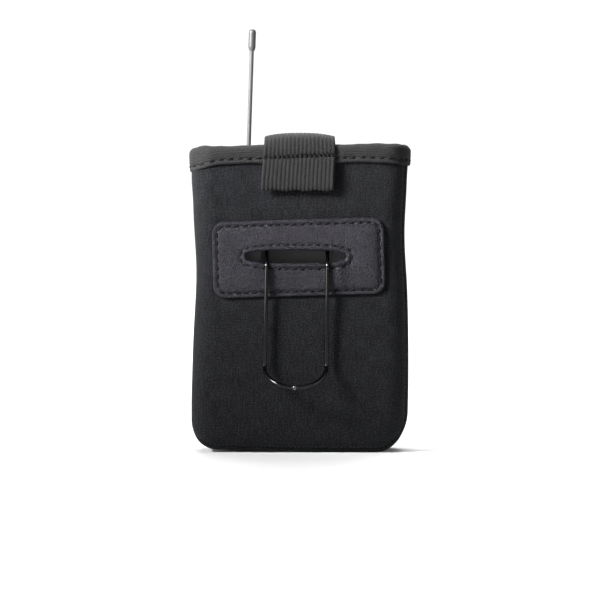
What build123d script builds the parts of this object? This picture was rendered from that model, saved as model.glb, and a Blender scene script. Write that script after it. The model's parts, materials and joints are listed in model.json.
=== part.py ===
from build123d import *
import os
from math import cos, radians, sin

# Wireless guitar transmitter: a two-cell belt pack in a sewn neoprene pouch with a wire belt clip.
# Frame: +Z up, +X to the right and +Y away when the pouch is seen from behind, where its clip is.
# The origin is the middle of the flat base that the pouch stands on. Lengths are in millimetres.

# ---- transmitter case ----
CASE_W, CASE_H, CASE_D = 66.0, 94.0, 23.0
CASE_WALL = 2.0
CASE_CORNER = 6.0
CASE_EDGE = 3.5
CASE_FLOOR_Z = 3.5
CASE_TOP_Z = CASE_FLOOR_Z + CASE_H
CASE_MID_Z = CASE_FLOOR_Z + CASE_H / 2
CASE_REAR_Y = -CASE_D / 2
CASE_FRONT_Y = CASE_D / 2
SHELL_SPLIT_Y = 1.0
FIT = 0.05
PRESS_FIT = 0.02
SLIDE_FIT = 0.1
FAR = 200.0

# ---- pouch ----
NEOPRENE = 3.0
POUCH_HALF_D = 14.8
MOUTH_HALF_D = 14.2
BODY_HALF_W = 37.6
WAIST_HALF_W = 36.8
MOUTH_HALF_W = 37.8
BODY_Z, WAIST_Z, SHOULDER_Z, NECK_Z, RIM_Z = 30.0, 74.0, 92.0, 101.0, 107.8
BASE_ROUND_W = 10.0
BASE_ROUND_D = 5.0
PLAN_CORNER = 8.0
CAVITY_CORNER = 4.5
CAVITY_FLOOR_Z = 3.2
CAVITY_ROUND_W = 7.0
CAVITY_ROUND_D = 3.0
BASE_STEPS = 4

# ---- mouth binding and closure strap ----
BINDING = 0.7
BINDING_LOW_Z = 101.6
BINDING_TOP_Z = RIM_Z + 0.8
BINDING_FACE_Y = MOUTH_HALF_D + BINDING
STRAP_W = 25.4
STRAP_X = -0.5
STRAP_T = 1.5
STRAP_SEAM_Z = 105.4
STRAP_SEAM_Y = -15.85
STRAP_ARCH_Z = 111.75
STRAP_ARCH_ROUND = 3.75
STRAP_FRONT_Y = 16.6
STRAP_END_Z = 68.0
TAIL_LOW_Z, TAIL_TOP_Z = 93.2, 104.0
LOOP_T, LOOP_HALF_W, LOOP_Z0, LOOP_Z1 = 0.9, 12.5, 64.0, 90.0
HOOK_GAP, HOOK_HALF_W, HOOK_L = 0.05, 11.5, 18.0
HOOK_Z0 = STRAP_END_Z + 2.0

# ---- slot patch ----
PATCH_W, PATCH_H, PATCH_T = 60.5, 26.9, 1.2
PATCH_X, PATCH_Z = -0.5, 69.0
PATCH_CORNER = 4.3
PATCH_TILT = 1.6
SLOT_X, SLOT_Z = -1.4, 69.25
SLOT_W, SLOT_H = 34.7, 5.3
RELIEF_W, RELIEF_LOW_Z, RELIEF_TOP_Z = 36.5, 66.4, 73.2

# ---- belt clip ----
WIRE_R = 0.7
CLIP_PIVOT_Y, CLIP_PIVOT_Z = -9.3, 80.0
CLIP_PIVOT_LENGTH = 4.0
CLIP_HEAD_X, CLIP_FOOT_X = -1.0, -1.6
CLIP_HEAD_HALF_W, CLIP_FOOT_HALF_W = 10.7, 10.85
CLIP_SLOT_IN_Z, CLIP_SLOT_OUT_Z = 72.5, 66.9
CLIP_RUN_Y = -17.3
CLIP_KINK_Z = 30.8
CLIP_TIP_Y, CLIP_TIP_Z = -26.2, 23.9
CLIP_BEND_R, CLIP_KINK_R, CLIP_TIP_R = 2.5, 1.5, 10.75
PIVOT_FIT = 0.08

# ---- clip recess and bracket in the rear shell ----
RECESS_X0, RECESS_X1 = -13.8, 11.8
RECESS_Z0, RECESS_Z1 = 63.5, 84.5
RECESS_Y = -8.3
RECESS_WALL = 1.5
BRACKET_W, BRACKET_H, BRACKET_Y = 18.0, 6.0, -10.9
BRACKET_EDGE = 0.5
BRACKET_SCREW_X = 4.2
BRACKET_SCREW_R, BRACKET_HEAD_R, BRACKET_HEAD_H, BRACKET_SCREW_END_Y = 0.8, 1.7, 1.0, -5.0
BRACKET_POST_R, BRACKET_POST_END_Y = 2.0, -4.4

# ---- battery bay ----
CELL_R, CELL_L, CELL_X, CELL_Y = 7.2, 49.5, 8.2, 1.6
CELL_NUB_R, CELL_NUB_L = 2.7, 1.0
TRAY_W, TRAY_WALL = 35.0, 1.2
TRAY_Z0, TRAY_Z1 = 5.6, 61.6
TRAY_Y0, TRAY_Y1 = -7.2, 8.0
CELL_Z0 = 8.6
CELL_Z1 = CELL_Z0 + CELL_L + CELL_NUB_L
DOOR_W, DOOR_Z0, DOOR_Z1 = 38.0, 7.0, 60.0
DOOR_PIN_R, DOOR_PIN_HALF_L, DOOR_PIN_Y, DOOR_PIN_Z = 0.8, 20.9, 10.4, 8.4
GRIP_COUNT, GRIP_HALF_W, GRIP_DEPTH, GRIP_H, GRIP_PITCH, GRIP_Z0 = 4, 8.0, 0.4, 1.2, 3.0, 30.0
LATCH_W, LATCH_Z0, LATCH_Z1, LATCH_REAR_Y = 8.0, 54.0, 58.0, 8.6
LATCH_SET_IN, LATCH_NOSE = 0.2, 1.5
TRAY_RIB_HALF_T, TRAY_RIB_D = 0.5, 4.0
CONTACT_T, CONTACT_HALF_W, CONTACT_Y0, CONTACT_Y1 = 0.4, 5.0, -3.0, 6.0
CONTACT_STUD_R = 2.4
BRIDGE_HALF_W, LEAF_HALF_W, LEAF_HALF_D = 13.0, 3.0, 2.0
WINDOW_HALF_W, WINDOW_Z0, WINDOW_Z1, WINDOW_SET_IN = 15.0, 68.0, 82.0, 0.2

# ---- top of the case, from left to right ----
PLATE_T = 2.0
PLATE_HALF_W, PLATE_HALF_D = 25.0, 7.0
PLATE_LIP, PLATE_END_LIP = 0.9, 1.4
ANTENNA_X = -18.6
LED_X = -11.5
BUTTON_X = -5.0
SLIDER_X = 7.0
JACK_X = 20.0
ANTENNA_LEAN = 1.9
WHIP_R, WHIP_Z0, WHIP_Z1 = 0.75, 98.6, 143.5
TIP_R, TIP_LENGTH, TIP_FOOT_H = 1.3, 7.7, 1.2
BOOT_STEM_R, BOOT_FLANGE_R, BOOT_FLANGE_H = 2.0, 3.4, 1.0
BOOT_FOOT_R, BOOT_HEAD_R, BOOT_H = 2.9, 1.5, 5.0
ANTENNA_SOCKET_R, ANTENNA_SOCKET_HALF_W, ANTENNA_SOCKET_TOP_Z = 2.4, 3.0, 93.5
BUTTON_R, BUTTON_TRAVEL, BUTTON_TOP_Z = 3.0, 0.8, 99.0
BUTTON_FLANGE, FLANGE_T = 0.7, 1.0
SLIDER_TRAVEL = 2.0
KNOB_HALF_W, KNOB_HALF_D, KNOB_TOP_Z = 1.5, 1.7, 100.0
KNOB_GROOVE_PITCH, KNOB_GROOVE_HALF_W, KNOB_GROOVE_D = 0.9, 0.15, 0.4
SKIRT_HALF_W, SKIRT_HALF_D, STEM_HALF_W = 4.2, 3.0, 0.6
SLIDER_SLOT_HALF_W = KNOB_HALF_W + SLIDER_TRAVEL + 0.2
SLIDER_SLOT_HALF_D = KNOB_HALF_D + 0.2
LED_R, LED_TOP_Z, LED_BODY_R, LED_BODY_TOP_Z = 1.0, 98.2, 1.45, 93.4
JACK_BORE_R, JACK_BORE_LENGTH = 1.8, 14.0
JACK_BUSH_R, JACK_BUSH_TOP_Z = 3.0, 102.5
JACK_NUT_FLATS, JACK_NUT_H = 8.0, 2.0
JACK_BODY_HALF_W, JACK_BODY_Z0 = 4.5, 80.5
JACK_CONTACT_X, JACK_CONTACT_T, JACK_CONTACT_HALF_W = 3.2, 0.3, 1.4
JACK_CONTACT_Z0, JACK_CONTACT_Z1 = 78.5, 89.5
JACK_POCKET_GAP, JACK_POCKET_Z1 = 0.1, 90.0
THREAD_RINGS, THREAD_Z0, THREAD_PITCH, THREAD_GROOVE, THREAD_DEPTH = 4, 100.1, 0.55, 0.25, 0.2

# ---- boards ----
BOARD_T = 1.6
BOARD_REAR_Y = -2.6
BOARD_FRONT_Y = BOARD_REAR_Y + BOARD_T
BOARD_X0, BOARD_X1, BOARD_Z0, BOARD_Z1 = -27.0, 13.0, 63.0, 84.5
CONTROL_Z0, CONTROL_Z1 = 87.0, 88.2
SWITCH_TOP_Z, TACT_R, TACT_TOP_Z, TACT_HALF_W = 91.4, 1.5, 92.2, 3.0
SLIDE_SWITCH_HALF_D = 1.8
FLANGE_Z = TACT_TOP_Z + BUTTON_TRAVEL + 0.2
CONTROL_X0, CONTROL_X1, CONTROL_HALF_D = -24.0, 12.5, 6.8
CASE_SCREWS = [(x, z) for x in (-27.5, 27.5) for z in (10.5, 88.0)]
BOSS_R, SCREW_R, SCREW_HEAD_R = 2.6, 0.9, 1.8
SCREW_SET_IN, SCREW_HEAD_H, SCREW_END_Y = 0.6, 0.9, 6.0
BOARD_POSTS = [(-24.0, 82.0, CASE_REAR_Y + 1), (10.0, 66.5, RECESS_Y + 1)]
BOARD_POST_R = 1.6
CHIPS = [(-22.0, -14.0, 70.0), (2.0, 8.0, 72.0)]
CHIP_FRONT_Y, CHIP_Z1 = 0.2, 78.0
SMALL_PART_Z0, SMALL_PART_Z1 = 80.5, 81.7
SMALL_PARTS, SMALL_PART_X0, SMALL_PART_PITCH, SMALL_PART_W = 5, -22.0, 4.0, 2.0
CAN_X0, CAN_X1, CAN_REAR_Y, CAN_Z0, CAN_Z1 = -26.0, -16.0, -5.6, 65.0, 79.0
HEADER_X0, HEADER_X1 = -10.0, 6.0
LCD_HALF_W, LCD_REAR_Y, LCD_Z0, LCD_Z1 = 16.0, 5.5, 66.5, 83.5
LCD_STRIP_X0, LCD_STRIP_X1, LCD_STRIP_H = -9.0, 1.0, 2.0


def block(x0, x1, y0, y1, z0, z1):
    """A box between two corners."""
    return Pos((x0 + x1) / 2, (y0 + y1) / 2, (z0 + z1) / 2) * Box(x1 - x0, y1 - y0, z1 - z0)


def rod_x(radius, x0, x1, y, z):
    """A round rod along X."""
    return Pos((x0 + x1) / 2, y, z) * Rot(0, 90, 0) * Cylinder(radius, x1 - x0)


def rod_y(radius, y0, y1, x, z):
    """A round rod along Y."""
    return Pos(x, (y0 + y1) / 2, z) * Rot(90, 0, 0) * Cylinder(radius, y1 - y0)


def rod_z(radius, z0, z1, x, y=0.0):
    """A round rod along Z."""
    return Pos(x, y, (z0 + z1) / 2) * Cylinder(radius, z1 - z0)


def behind(y):
    """Everything on the clip's side of a plane across Y."""
    return block(-FAR, FAR, -FAR, y, -FAR, FAR)


def ahead(y):
    """Everything on the front panel's side of a plane across Y."""
    return block(-FAR, FAR, y, FAR, -FAR, FAR)


# ---------------------------------------------------------------- pouch

def ring_section(z, half_w, half_d, corner):
    """One level of the pouch: a rounded rectangle."""
    return Plane.XY.offset(z) * RectangleRounded(2 * half_w, 2 * half_d, corner)


def base_sections(floor_z, round_w, round_d, round_h, half_w, half_d, corner):
    """The rounded foot of the pouch, level by level from the floor up."""
    sections = []
    for step in range(BASE_STEPS):
        turn = radians(90 * step / BASE_STEPS)
        sections.append(ring_section(floor_z + round_h * (1 - cos(turn)),
                                     half_w - round_w * (1 - sin(turn)),
                                     half_d - round_d * (1 - sin(turn)), corner))
    sections.append(ring_section(floor_z + round_h, half_w, half_d, corner))
    return sections


def upper_sections(inset, corner, top_z):
    """The pouch from its foot to its mouth, waisted and flared, set in by a wall."""
    levels = [(BODY_Z, BODY_HALF_W, POUCH_HALF_D), (WAIST_Z, WAIST_HALF_W, POUCH_HALF_D),
              (SHOULDER_Z, MOUTH_HALF_W, POUCH_HALF_D), (NECK_Z, MOUTH_HALF_W, MOUTH_HALF_D),
              (top_z, MOUTH_HALF_W, MOUTH_HALF_D)]
    return [ring_section(z, w - inset, d - inset, corner) for z, w, d in levels]


def pouch_wall():
    """The whole neoprene wall, before it is parted into its two panels."""
    outside = base_sections(0, BASE_ROUND_W, BASE_ROUND_D, BASE_ROUND_W,
                            BODY_HALF_W, POUCH_HALF_D, PLAN_CORNER)
    outside += upper_sections(0, PLAN_CORNER, RIM_Z)
    inside = base_sections(CAVITY_FLOOR_Z, CAVITY_ROUND_W, CAVITY_ROUND_D, CAVITY_ROUND_D,
                           BODY_HALF_W - NEOPRENE, POUCH_HALF_D - NEOPRENE, CAVITY_CORNER)
    inside += upper_sections(NEOPRENE, CAVITY_CORNER, RIM_Z + 5)
    return loft(outside, ruled=True) - loft(inside, ruled=True)


def relief_opening():
    """The hole in the neoprene behind the patch, larger than the patch's slot."""
    height = RELIEF_TOP_Z - RELIEF_LOW_Z
    outline = Pos(SLOT_X, RELIEF_LOW_Z + height / 2) * SlotOverall(RELIEF_W, height)
    return extrude(Plane.XZ.offset(CASE_D / 2 - 1) * outline, 8)


def mouth_binding():
    """Elastic tape folded over the rim, inside and out."""
    height = BINDING_TOP_Z - BINDING_LOW_Z
    tape = ring_section(BINDING_LOW_Z, MOUTH_HALF_W + BINDING, BINDING_FACE_Y, PLAN_CORNER + BINDING)
    core = ring_section(BINDING_LOW_Z, MOUTH_HALF_W - NEOPRENE - BINDING,
                        MOUTH_HALF_D - NEOPRENE - BINDING, CAVITY_CORNER - BINDING)
    rim = ring_section(BINDING_LOW_Z, MOUTH_HALF_W, MOUTH_HALF_D, PLAN_CORNER)
    throat = ring_section(BINDING_LOW_Z, MOUTH_HALF_W - NEOPRENE, MOUTH_HALF_D - NEOPRENE,
                          CAVITY_CORNER)
    return extrude(tape - core, height) - extrude(rim - throat, RIM_Z - BINDING_LOW_Z)


def clip_slot_patch():
    """The synthetic leather patch on the back panel, with the slot for the clip."""
    outline = Pos(PATCH_X, PATCH_Z) * RectangleRounded(PATCH_W, PATCH_H, PATCH_CORNER,
                                                       rotation=PATCH_TILT)
    slot = Pos(SLOT_X, SLOT_Z) * SlotOverall(SLOT_W, SLOT_H, rotation=PATCH_TILT)
    return extrude(Plane.XZ.offset(POUCH_HALF_D) * (outline - slot), PATCH_T)


def arch_outline(rear_y, front_y, top_z, corner):
    """A tall arch in the Y-Z plane, rounded at its two top corners."""
    low_z = STRAP_END_Z
    legs = Pos((rear_y + front_y) / 2, (low_z + top_z) / 2) * Rectangle(front_y - rear_y, top_z - low_z)
    return fillet(legs.vertices().group_by(Axis.Y)[-1], corner)


def closure_strap():
    """Elastic webbing from the rear seam, over the mouth and down the front panel."""
    inner_rear = STRAP_SEAM_Y + STRAP_T / 2
    outer_rear = STRAP_SEAM_Y - STRAP_T / 2
    arch = arch_outline(outer_rear, STRAP_FRONT_Y + STRAP_T, STRAP_ARCH_Z + STRAP_T,
                        STRAP_ARCH_ROUND + STRAP_T)
    arch -= arch_outline(inner_rear, STRAP_FRONT_Y, STRAP_ARCH_Z, STRAP_ARCH_ROUND)
    below_seam = Pos(STRAP_SEAM_Y, (STRAP_END_Z + STRAP_SEAM_Z) / 2)
    arch -= below_seam * Rectangle(4 * STRAP_T, STRAP_SEAM_Z - STRAP_END_Z + 2 * FIT)
    arch += Pos(STRAP_SEAM_Y, STRAP_SEAM_Z + FIT) * Circle(STRAP_T / 2)
    return extrude(Plane.YZ.offset(STRAP_X) * arch, STRAP_W / 2, both=True)


def strap_tail():
    """The loose end of the strap below its rear seam, lying on the binding."""
    return block(STRAP_X - STRAP_W / 2, STRAP_X + STRAP_W / 2,
                 -BINDING_FACE_Y - STRAP_T, -BINDING_FACE_Y, TAIL_LOW_Z, TAIL_TOP_Z)


def hook_tape():
    """Hook tape on the inner face of the strap's free end."""
    return block(STRAP_X - HOOK_HALF_W, STRAP_X + HOOK_HALF_W, POUCH_HALF_D + LOOP_T + HOOK_GAP,
                 STRAP_FRONT_Y, HOOK_Z0, HOOK_Z0 + HOOK_L)


def loop_tape():
    """Loop tape sewn to the front panel."""
    return block(STRAP_X - LOOP_HALF_W, STRAP_X + LOOP_HALF_W, POUCH_HALF_D, POUCH_HALF_D + LOOP_T,
                 LOOP_Z0, LOOP_Z1)


# ---------------------------------------------------------------- belt clip

def clip_half(side):
    """Corner points of one half of the wire, from its pivot end to the tip's corner."""
    head_x = CLIP_HEAD_X + side * CLIP_HEAD_HALF_W
    foot_x = CLIP_FOOT_X + side * CLIP_FOOT_HALF_W
    return [(head_x - side * CLIP_PIVOT_LENGTH, CLIP_PIVOT_Y, CLIP_PIVOT_Z),
            (head_x, CLIP_PIVOT_Y, CLIP_PIVOT_Z),
            (head_x, CLIP_PIVOT_Y, CLIP_SLOT_IN_Z),
            (head_x, CLIP_RUN_Y, CLIP_SLOT_OUT_Z),
            (foot_x, CLIP_RUN_Y, CLIP_KINK_Z),
            (foot_x, CLIP_TIP_Y, CLIP_TIP_Z)]


def belt_clip():
    """One bent spring wire: two legs, two turned-in pivot ends and a flared round tip."""
    points = clip_half(-1) + clip_half(1)[::-1]
    half_radii = [CLIP_KINK_R, CLIP_BEND_R, CLIP_BEND_R, CLIP_KINK_R, CLIP_TIP_R]
    path = FilletPolyline(*points, radius=half_radii + half_radii[::-1])
    return sweep(Plane(origin=path @ 0, z_dir=path % 0) * Circle(WIRE_R), path)


def bracket_screw_shape(clearance=0.0):
    """The two countersunk screws that hold the clip bracket."""
    shape = None
    for side in (-1, 1):
        x = CLIP_HEAD_X + side * BRACKET_SCREW_X
        shank = rod_y(BRACKET_SCREW_R + clearance, BRACKET_Y, BRACKET_SCREW_END_Y, x, CLIP_PIVOT_Z)
        head = Pos(x, BRACKET_Y + BRACKET_HEAD_H / 2, CLIP_PIVOT_Z) * Rot(90, 0, 0) * Cone(
            BRACKET_SCREW_R + clearance, BRACKET_HEAD_R + clearance, BRACKET_HEAD_H)
        screw = shank + head
        shape = screw if shape is None else shape + screw
    return shape


def clip_bracket():
    """A bar over the wire's turned-in ends, screwed into the rear shell's recess."""
    half_w = BRACKET_W / 2
    bar = block(CLIP_HEAD_X - half_w, CLIP_HEAD_X + half_w, BRACKET_Y, RECESS_Y,
                CLIP_PIVOT_Z - BRACKET_H / 2, CLIP_PIVOT_Z + BRACKET_H / 2)
    bar = fillet(bar.faces().sort_by(Axis.Y)[0].edges(), BRACKET_EDGE)
    groove_r = WIRE_R + PIVOT_FIT
    for side in (-1, 1):
        inner_x = CLIP_HEAD_X + side * (CLIP_HEAD_HALF_W - CLIP_PIVOT_LENGTH - 2 * SLIDE_FIT)
        outer_x = CLIP_HEAD_X + side * (half_w + 1)
        x0, x1 = min(inner_x, outer_x), max(inner_x, outer_x)
        bar -= rod_x(groove_r, x0, x1, CLIP_PIVOT_Y, CLIP_PIVOT_Z)
        bar -= block(x0, x1, CLIP_PIVOT_Y, RECESS_Y + 1, CLIP_PIVOT_Z - groove_r,
                     CLIP_PIVOT_Z + groove_r)
    return bar - bracket_screw_shape(PRESS_FIT)


# ---------------------------------------------------------------- case

def case_form(inset):
    """The case's rounded block, set in by a wall."""
    outline = RectangleRounded(CASE_W - 2 * inset, CASE_H - 2 * inset, CASE_CORNER - inset)
    form = extrude(Plane.XZ * Pos(0, CASE_MID_Z) * outline, CASE_D / 2 - inset, both=True)
    faces = form.faces().sort_by(Axis.Y)
    return fillet(faces[0].edges() + faces[-1].edges(), CASE_EDGE - inset)


def case_screw_shape(clearance=0.0):
    """Four long screws, set in from the rear face, that clamp the two shells."""
    shape = None
    for x, z in CASE_SCREWS:
        head_y = CASE_REAR_Y + SCREW_SET_IN
        screw = rod_y(SCREW_R + clearance, head_y, SCREW_END_Y, x, z)
        screw += rod_y(SCREW_HEAD_R + clearance, head_y, head_y + SCREW_HEAD_H, x, z)
        shape = screw if shape is None else shape + screw
    return shape


def screw_bosses(y0, y1):
    """Round bosses in the case's corners."""
    bosses = None
    for x, z in CASE_SCREWS:
        boss = rod_y(BOSS_R, y0, y1, x, z)
        bosses = boss if bosses is None else bosses + boss
    return bosses


def plate_opening():
    """The hole in the top of both shells that the top plate fills."""
    return block(-PLATE_HALF_W, PLATE_HALF_W, -PLATE_HALF_D, PLATE_HALF_D,
                 CASE_TOP_Z - PLATE_T - 1, CASE_TOP_Z + 1)


def pack_rear_shell():
    """Rear half of the case, with the clip recess, bosses and board posts."""
    form = case_form(0)
    shell = form - case_form(CASE_WALL)
    shell += block(RECESS_X0 - RECESS_WALL, RECESS_X1 + RECESS_WALL, CASE_REAR_Y + 1,
                   RECESS_Y + RECESS_WALL, RECESS_Z0 - RECESS_WALL, RECESS_Z1 + RECESS_WALL)
    shell -= block(RECESS_X0, RECESS_X1, CASE_REAR_Y - 5, RECESS_Y, RECESS_Z0, RECESS_Z1)
    shell += screw_bosses(CASE_REAR_Y + 1, SHELL_SPLIT_Y)
    for side in (-1, 1):
        shell += rod_y(BRACKET_POST_R, RECESS_Y + 1, BRACKET_POST_END_Y,
                       CLIP_HEAD_X + side * BRACKET_SCREW_X, CLIP_PIVOT_Z)
    for x, z, foot_y in BOARD_POSTS:
        shell += rod_y(BOARD_POST_R, foot_y, BOARD_REAR_Y, x, z)
    for x, z in CASE_SCREWS:
        shell -= rod_y(SCREW_HEAD_R + SLIDE_FIT, CASE_REAR_Y - 1, CASE_REAR_Y + SCREW_SET_IN, x, z)
    shell -= case_screw_shape(PRESS_FIT) + bracket_screw_shape(PRESS_FIT) + plate_opening()
    return shell & behind(SHELL_SPLIT_Y)


def battery_door_blank(gap):
    """The battery door's outline through the front wall."""
    return block(-DOOR_W / 2 + gap, DOOR_W / 2 - gap, CASE_FRONT_Y - CASE_WALL, CASE_FRONT_Y,
                 DOOR_Z0 + gap, DOOR_Z1 - gap)


def window_blank(gap):
    """The display window's outline through the front wall."""
    return block(-WINDOW_HALF_W + gap, WINDOW_HALF_W - gap, CASE_FRONT_Y - CASE_WALL,
                 CASE_FRONT_Y - WINDOW_SET_IN, WINDOW_Z0 + gap, WINDOW_Z1 - gap)


def pin_hole():
    """The bore for the door's hinge pin."""
    half = DOOR_PIN_HALF_L + SLIDE_FIT
    return rod_x(DOOR_PIN_R + PRESS_FIT, -half, half, DOOR_PIN_Y, DOOR_PIN_Z)


def pack_front_shell():
    """Front half of the case, with the battery opening and the display opening."""
    shell = case_form(0) - case_form(CASE_WALL)
    shell += screw_bosses(SHELL_SPLIT_Y, CASE_FRONT_Y - 1)
    shell -= battery_door_blank(0) + block(-WINDOW_HALF_W, WINDOW_HALF_W, CASE_FRONT_Y - CASE_WALL - 1,
                                           CASE_FRONT_Y + 1, WINDOW_Z0, WINDOW_Z1)
    shell -= pin_hole() + case_screw_shape(PRESS_FIT) + plate_opening()
    return shell & ahead(SHELL_SPLIT_Y)


def battery_door():
    """A flat door over the cells, hinged at its foot and latched at its head."""
    door = battery_door_blank(SLIDE_FIT) - pin_hole()
    for step in range(GRIP_COUNT):
        z = GRIP_Z0 + GRIP_PITCH * step
        door -= block(-GRIP_HALF_W, GRIP_HALF_W, CASE_FRONT_Y - GRIP_DEPTH, CASE_FRONT_Y + 1, z, z + GRIP_H)
    half = LATCH_W / 2 + FIT
    return door - block(-half, half, 0, CASE_D, LATCH_Z0 - FIT, LATCH_Z1 + FIT)


def door_latch():
    """The snap latch: a thumb pad in the door and a nose behind the shell's edge."""
    half = LATCH_W / 2
    pad = block(-half, half, LATCH_REAR_Y, CASE_FRONT_Y - LATCH_SET_IN, LATCH_Z0, LATCH_Z1)
    nose = block(-half, half, LATCH_REAR_Y, CASE_FRONT_Y - CASE_WALL - SLIDE_FIT, LATCH_Z0,
                 DOOR_Z1 + LATCH_NOSE)
    return pad + nose


def top_plate():
    """The captive plate that carries the aerial, light, button, slider and jack."""
    top, low = CASE_TOP_Z, CASE_TOP_Z - PLATE_T
    plate = block(-PLATE_HALF_W + FIT, PLATE_HALF_W - FIT, -PLATE_HALF_D + FIT,
                  PLATE_HALF_D - FIT, low, top)
    plate += block(-PLATE_HALF_W - PLATE_END_LIP, PLATE_HALF_W + PLATE_END_LIP,
                   -PLATE_HALF_D - PLATE_LIP, PLATE_HALF_D + PLATE_LIP, low - 1, low)
    for radius, x in ((BOOT_STEM_R + PRESS_FIT, ANTENNA_X), (LED_R + SLIDE_FIT, LED_X),
                      (BUTTON_R + SLIDE_FIT, BUTTON_X), (JACK_BUSH_R + PRESS_FIT, JACK_X)):
        plate -= rod_z(radius, low - 2, top + 1, x)
    return plate - block(SLIDER_X - SLIDER_SLOT_HALF_W, SLIDER_X + SLIDER_SLOT_HALF_W,
                         -SLIDER_SLOT_HALF_D, SLIDER_SLOT_HALF_D, low - 2, top + 1)


# ---------------------------------------------------------------- controls and jack

def power_button():
    """A round push button with a flange under the top plate."""
    cap = rod_z(BUTTON_R, FLANGE_Z, BUTTON_TOP_Z, BUTTON_X)
    cap = fillet(cap.faces().sort_by(Axis.Z)[-1].edges(), 0.5)
    return cap + rod_z(BUTTON_R + BUTTON_FLANGE, FLANGE_Z, FLANGE_Z + FLANGE_T, BUTTON_X)


def mute_slider():
    """A ribbed thumb slider with a skirt under the plate and a stem to its switch."""
    knob = block(SLIDER_X - KNOB_HALF_W, SLIDER_X + KNOB_HALF_W, -KNOB_HALF_D, KNOB_HALF_D,
                 FLANGE_Z, KNOB_TOP_Z)
    for step in (-1, 0, 1):
        x = SLIDER_X + step * KNOB_GROOVE_PITCH
        knob -= block(x - KNOB_GROOVE_HALF_W, x + KNOB_GROOVE_HALF_W, -2 * KNOB_HALF_D, 2 * KNOB_HALF_D,
                      KNOB_TOP_Z - KNOB_GROOVE_D, KNOB_TOP_Z + 1)
    knob += block(SLIDER_X - SKIRT_HALF_W, SLIDER_X + SKIRT_HALF_W, -SKIRT_HALF_D, SKIRT_HALF_D,
                  FLANGE_Z, FLANGE_Z + FLANGE_T)
    return knob + block(SLIDER_X - STEM_HALF_W, SLIDER_X + STEM_HALF_W, -STEM_HALF_W, STEM_HALF_W,
                        SWITCH_TOP_Z + 0.2, FLANGE_Z)


def power_switch():
    """The tact switch under the power button."""
    body = block(BUTTON_X - TACT_HALF_W, BUTTON_X + TACT_HALF_W, -TACT_HALF_W, TACT_HALF_W,
                 CONTROL_Z1, SWITCH_TOP_Z)
    return body + rod_z(TACT_R, SWITCH_TOP_Z, TACT_TOP_Z, BUTTON_X)


def mute_switch():
    """The slide switch under the mute slider."""
    return block(SLIDER_X - SKIRT_HALF_W, SLIDER_X + SKIRT_HALF_W, -SLIDE_SWITCH_HALF_D,
                 SLIDE_SWITCH_HALF_D, CONTROL_Z1, SWITCH_TOP_Z)


def status_led():
    """A light with a clear round lens in the top plate."""
    lens = rod_z(LED_R, LED_BODY_TOP_Z, LED_TOP_Z, LED_X)
    lens = fillet(lens.faces().sort_by(Axis.Z)[-1].edges(), 0.8 * LED_R)
    return lens + rod_z(LED_BODY_R, CONTROL_Z1, LED_BODY_TOP_Z, LED_X)


def jack_bore():
    """The socket's bore, open at its top."""
    return rod_z(JACK_BORE_R, JACK_BUSH_TOP_Z - JACK_BORE_LENGTH, JACK_BUSH_TOP_Z + 1, JACK_X)


def jack_housing():
    """The socket's plastic body under the top plate, with a pocket for its contacts."""
    half = JACK_BODY_HALF_W
    body = block(JACK_X - half, JACK_X + half, -half, half, JACK_BODY_Z0, CASE_TOP_Z - PLATE_T - 1)
    body = fillet(body.edges().filter_by(Axis.Z), 0.8)
    half_t = JACK_CONTACT_T / 2 + JACK_POCKET_GAP
    half_w = JACK_CONTACT_HALF_W + JACK_POCKET_GAP
    for side in (-1, 1):
        x = JACK_X + side * JACK_CONTACT_X
        body -= block(x - half_t, x + half_t, -half_w, half_w, JACK_CONTACT_Z0, JACK_POCKET_Z1)
    return body - jack_bore()


def jack_contacts():
    """Two sprung metal strips in the socket's body."""
    strips = None
    for side in (-1, 1):
        x = JACK_X + side * JACK_CONTACT_X
        strip = block(x - JACK_CONTACT_T / 2, x + JACK_CONTACT_T / 2, -JACK_CONTACT_HALF_W,
                      JACK_CONTACT_HALF_W, JACK_CONTACT_Z0, JACK_CONTACT_Z1)
        strips = strip if strips is None else strips + strip
    return strips


def jack_bush():
    """The threaded bush that a locking plug screws on to, its thread as fine rings."""
    bush = rod_z(JACK_BUSH_R, CASE_TOP_Z - PLATE_T - 1, JACK_BUSH_TOP_Z, JACK_X)
    for step in range(THREAD_RINGS):
        z0 = THREAD_Z0 + THREAD_PITCH * step
        z1 = z0 + THREAD_GROOVE
        bush -= rod_z(JACK_BUSH_R + 1, z0, z1, JACK_X) - rod_z(JACK_BUSH_R - THREAD_DEPTH, z0, z1, JACK_X)
    return bush - jack_bore()


def jack_nut():
    """The hexagonal nut that holds the bush to the top plate."""
    nut = extrude(Plane.XY.offset(CASE_TOP_Z) * Pos(JACK_X, 0) * RegularPolygon(
        JACK_NUT_FLATS / 2, 6, major_radius=False), JACK_NUT_H)
    return nut - rod_z(JACK_BUSH_R + PRESS_FIT, CASE_TOP_Z - 1, CASE_TOP_Z + JACK_NUT_H + 1, JACK_X)


# ---------------------------------------------------------------- aerial

def on_antenna(shape):
    """Leans a part of the aerial about its foot."""
    return Pos(ANTENNA_X, 0, WHIP_Z0) * Rot(0, ANTENNA_LEAN, 0) * shape


def antenna_whip():
    """The straight aerial rod."""
    length = WHIP_Z1 - WHIP_Z0
    return on_antenna(Pos(0, 0, length / 2) * Cylinder(WHIP_R, length))


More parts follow.
